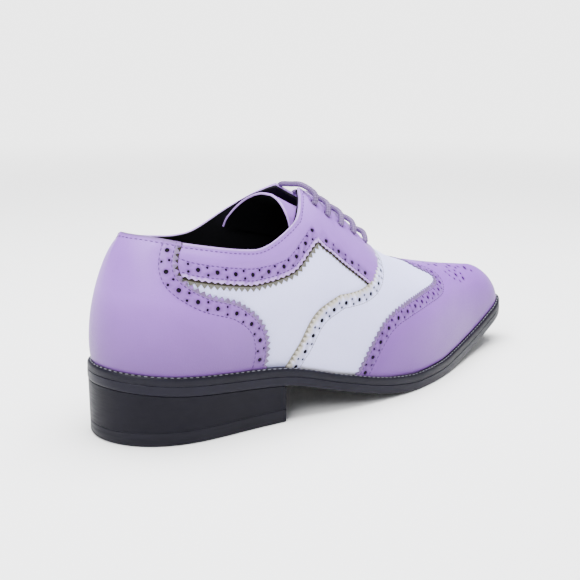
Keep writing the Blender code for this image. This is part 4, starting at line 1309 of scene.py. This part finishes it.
def plate(name, rings, ends, finish, slot, node, across=12, count=260):
    points, index = [], []
    whole = ends[lateral] == 1
    for inset, height in rings:
        runs = plateRing(inset, height, ends, count)
        ring = list(runs[lateral])
        if whole:
            ring += list(runs[medial][-2:0:-1])
        else:
            a, b = runs[lateral][-1], runs[medial][-1]
            for t in np.linspace(0, 1, across + 1)[1:-1]:
                middle = a * (1 - t) + b * t
                middle[2] = height(middle[:1] - homeShift[0])[0]
                ring.append(middle)
            ring += list(runs[medial][:0:-1])
        index.append(list(range(len(points), len(points) + len(ring))))
        points += ring
    size = len(index[0])
    faces = []
    for low, high in zip(index, index[1:]):
        for i in range(size):
            k = (i + 1) % size
            faces.append((low[i], low[k], high[k], high[i]))
    for ring, flip in ((index[0], True), (index[-1], False)):
        caps = [[ring[i], ring[i + 1], ring[-(i + 1)], ring[-i] if i else ring[0]]
                for i in range(count if whole else count - 1)]
        if not whole:
            caps.append([ring[i] for i in range(count - 1, size - (count - 1) + 1)])
        caps = [cap for cap in map(withoutRepeats, caps) if len(cap) > 2]
        faces += [cap[::-1] if flip else cap for cap in caps]
    hold(meshPiece(name, np.array(points), faces, finishes[finish], 35), slot, node)


def above(level):
    return lambda x: underside(x) + level


def level(value):
    return lambda x: np.full(np.shape(x), float(value))


whole = {lateral: 1, medial: 1}
sampled = np.linspace(0, 1, 1001)
heelEnds = {side: float(np.interp(shoe["heelBreast"], edgeAt(side, sampled, 0 * sampled)[0][:, 0], sampled))
            for side in (lateral, medial)}
outsoleTop, weltTop, liftTop = shoe["outsole"] - 0.05 * mm, band, shoe["topLift"]
# each ring: how far inside the sole's outline, and its height
plate("outsoleEdge", [
    (1.0 * mm, above(0)), (0.35 * mm, above(0.2 * mm)), (0.05 * mm, above(0.7 * mm)), (0, above(1.8 * mm)),
    (0, above(3.2 * mm)), (0.05 * mm, above(outsoleTop - 0.25 * mm)), (0.30 * mm, above(outsoleTop))],
    whole, "sole", "sole_edge", "outsole")
plate("weltStrip", [
    (0.35 * mm, above(shoe["outsole"])), (0.15 * mm, above(shoe["outsole"] + 0.25 * mm)),
    (0.20 * mm, above(weltTop - 1.3 * mm)), (0.45 * mm, above(weltTop - 0.5 * mm)),
    (0.9 * mm, above(weltTop)), (1.3 * mm, above(weltTop)), (1.55 * mm, above(weltTop - 0.25 * mm)),
    (1.95 * mm, above(weltTop - 0.25 * mm)), (2.2 * mm, above(weltTop))],
    whole, "welt", "welt", "welt")
plate("heelStack", [
    (0.40 * mm, level(liftTop)), (0.25 * mm, level(liftTop + 0.15 * mm)), (0.25 * mm, above(-0.2 * mm)),
    (0.45 * mm, above(0))],
    heelEnds, "heel", "heel", "heel_stack")
plate("heelLift", [
    (1.3 * mm, level(0)), (0.6 * mm, level(0.4 * mm)), (0.25 * mm, level(1.1 * mm)),
    (0.25 * mm, level(liftTop - 0.20 * mm)), (0.40 * mm, level(liftTop - 0.05 * mm))],
    heelEnds, "rubber", "heel_rubber", "heel_top_lift")
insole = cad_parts["insole"]
insole.data.materials.clear()
insole.data.materials.append(finishes["lining"])
print("sole and heel are ready")


# Floor, light and camera as in a product photograph
studio = dict(
    floorSize=16.0, horizon=3.7, sky=0.40, skyTint=(0.93, 0.96, 1.06), bandFrom=0.05, bandTo=0.16,
    glowFrom=0.25, glowTo=1.60, tint=(0.955, 0.97, 1.0),
    # each lamp: its place, the height it aims at, its size and its power
    lamps=dict(topSoft=((0.05, 0.1, 1.2), 0.05, (1.3, 1.0), 72.0),
               keySoft=((-1.0, -0.45, 1.1), 0.07, (0.9, 0.7), 26.0),
               fillSoft=((0.9, -0.7, 0.55), 0.05, (0.8, 0.7), 2.5)),
    azimuth=-37.1, elevation=14.0, distance=0.5288, target=(-0.0282, -0.0025, 0.0572), lens=60.49)


# Away from the shoe the floor glows as brightly as the horizon, so that it has no end
def makeFloor():
    half = studio["floorSize"] / 2
    corners = [(-half, -half, 0), (half, -half, 0), (half, half, 0), (-half, half, 0)]
    finish, tree, shader, place = newFinish("whiteFloor")
    away = addNode(tree, "ShaderNodeVectorMath", {0: place}, operation="LENGTH").outputs["Value"]
    glow = spread(tree, away, 0.0, 1.0, studio["glowFrom"], studio["glowTo"], interpolation_type="SMOOTHSTEP")
    plain = mixColour(tree, noise(tree, place, 8.0), (0.885, 0.875, 0.850), (0.900, 0.890, 0.865))
    setInputs(tree, shader, {
        "Base Color": mixColour(tree, glow, plain, (0.0, 0.0, 0.0)),
        "Emission Strength": spread(tree, glow, 0.0, studio["horizon"]),
        "Emission Color": (1.0, 1.0, 1.0, 1.0), "Roughness": 0.5, "Specular IOR Level": 0.0})
    mesh = bpy.data.meshes.new("floor")
    mesh.from_pydata(corners, [], [(0, 1, 2, 3)])
    mesh.materials.append(finish)
    newObject("floor", mesh)


# The sky is soft overhead and bright in a narrow band at the horizon
def makeSky():
    world = bpy.data.worlds.new("studioWorld")
    world.use_nodes = True
    tree = world.node_tree
    place = addNode(tree, "ShaderNodeTexCoord").outputs["Generated"]
    height = addNode(tree, "ShaderNodeSeparateXYZ", {0: place}).outputs["Z"]
    low = (studio["horizon"],) * 3
    high = tuple(studio["sky"] * c for c in studio["skyTint"])
    share = spread(tree, height, 1.0, 0.0, studio["bandFrom"], studio["bandTo"])
    setInputs(tree, tree.nodes["Background"], {"Color": mixColour(tree, share, high, low)})
    bpy.context.scene.world = world


def softLight(name, place, aim, size, power):
    lamp = bpy.data.lights.new(name, "AREA")
    lamp.shape = "RECTANGLE"
    lamp.size, lamp.size_y = size
    lamp.energy = power
    lamp.color = studio["tint"]
    item = newObject(name, lamp)
    item.location = place
    item.rotation_mode = "QUATERNION"
    item.rotation_quaternion = (Vector((0, 0, aim)) - Vector(place)).to_track_quat("-Z", "Y")


makeFloor()
makeSky()
for name, lamp in studio["lamps"].items():
    softLight(name, *lamp)

cameraData = bpy.data.cameras.new("photoCamera")
cameraData.lens = studio["lens"]
cameraData.sensor_width = 36
cameraData.clip_start, cameraData.clip_end = 0.01, 20
camera = newObject("photoCamera", cameraData)
azimuth, elevation = radians(studio["azimuth"]), radians(studio["elevation"])
back = Vector((sin(azimuth) * cos(elevation), -cos(azimuth) * cos(elevation), sin(elevation)))
camera.location = Vector(studio["target"]) + back * studio["distance"]
camera.rotation_mode = "QUATERNION"
camera.rotation_quaternion = (-back).to_track_quat("-Z", "Y")
bpy.context.scene.camera = camera
print("floor, lights and camera are set")
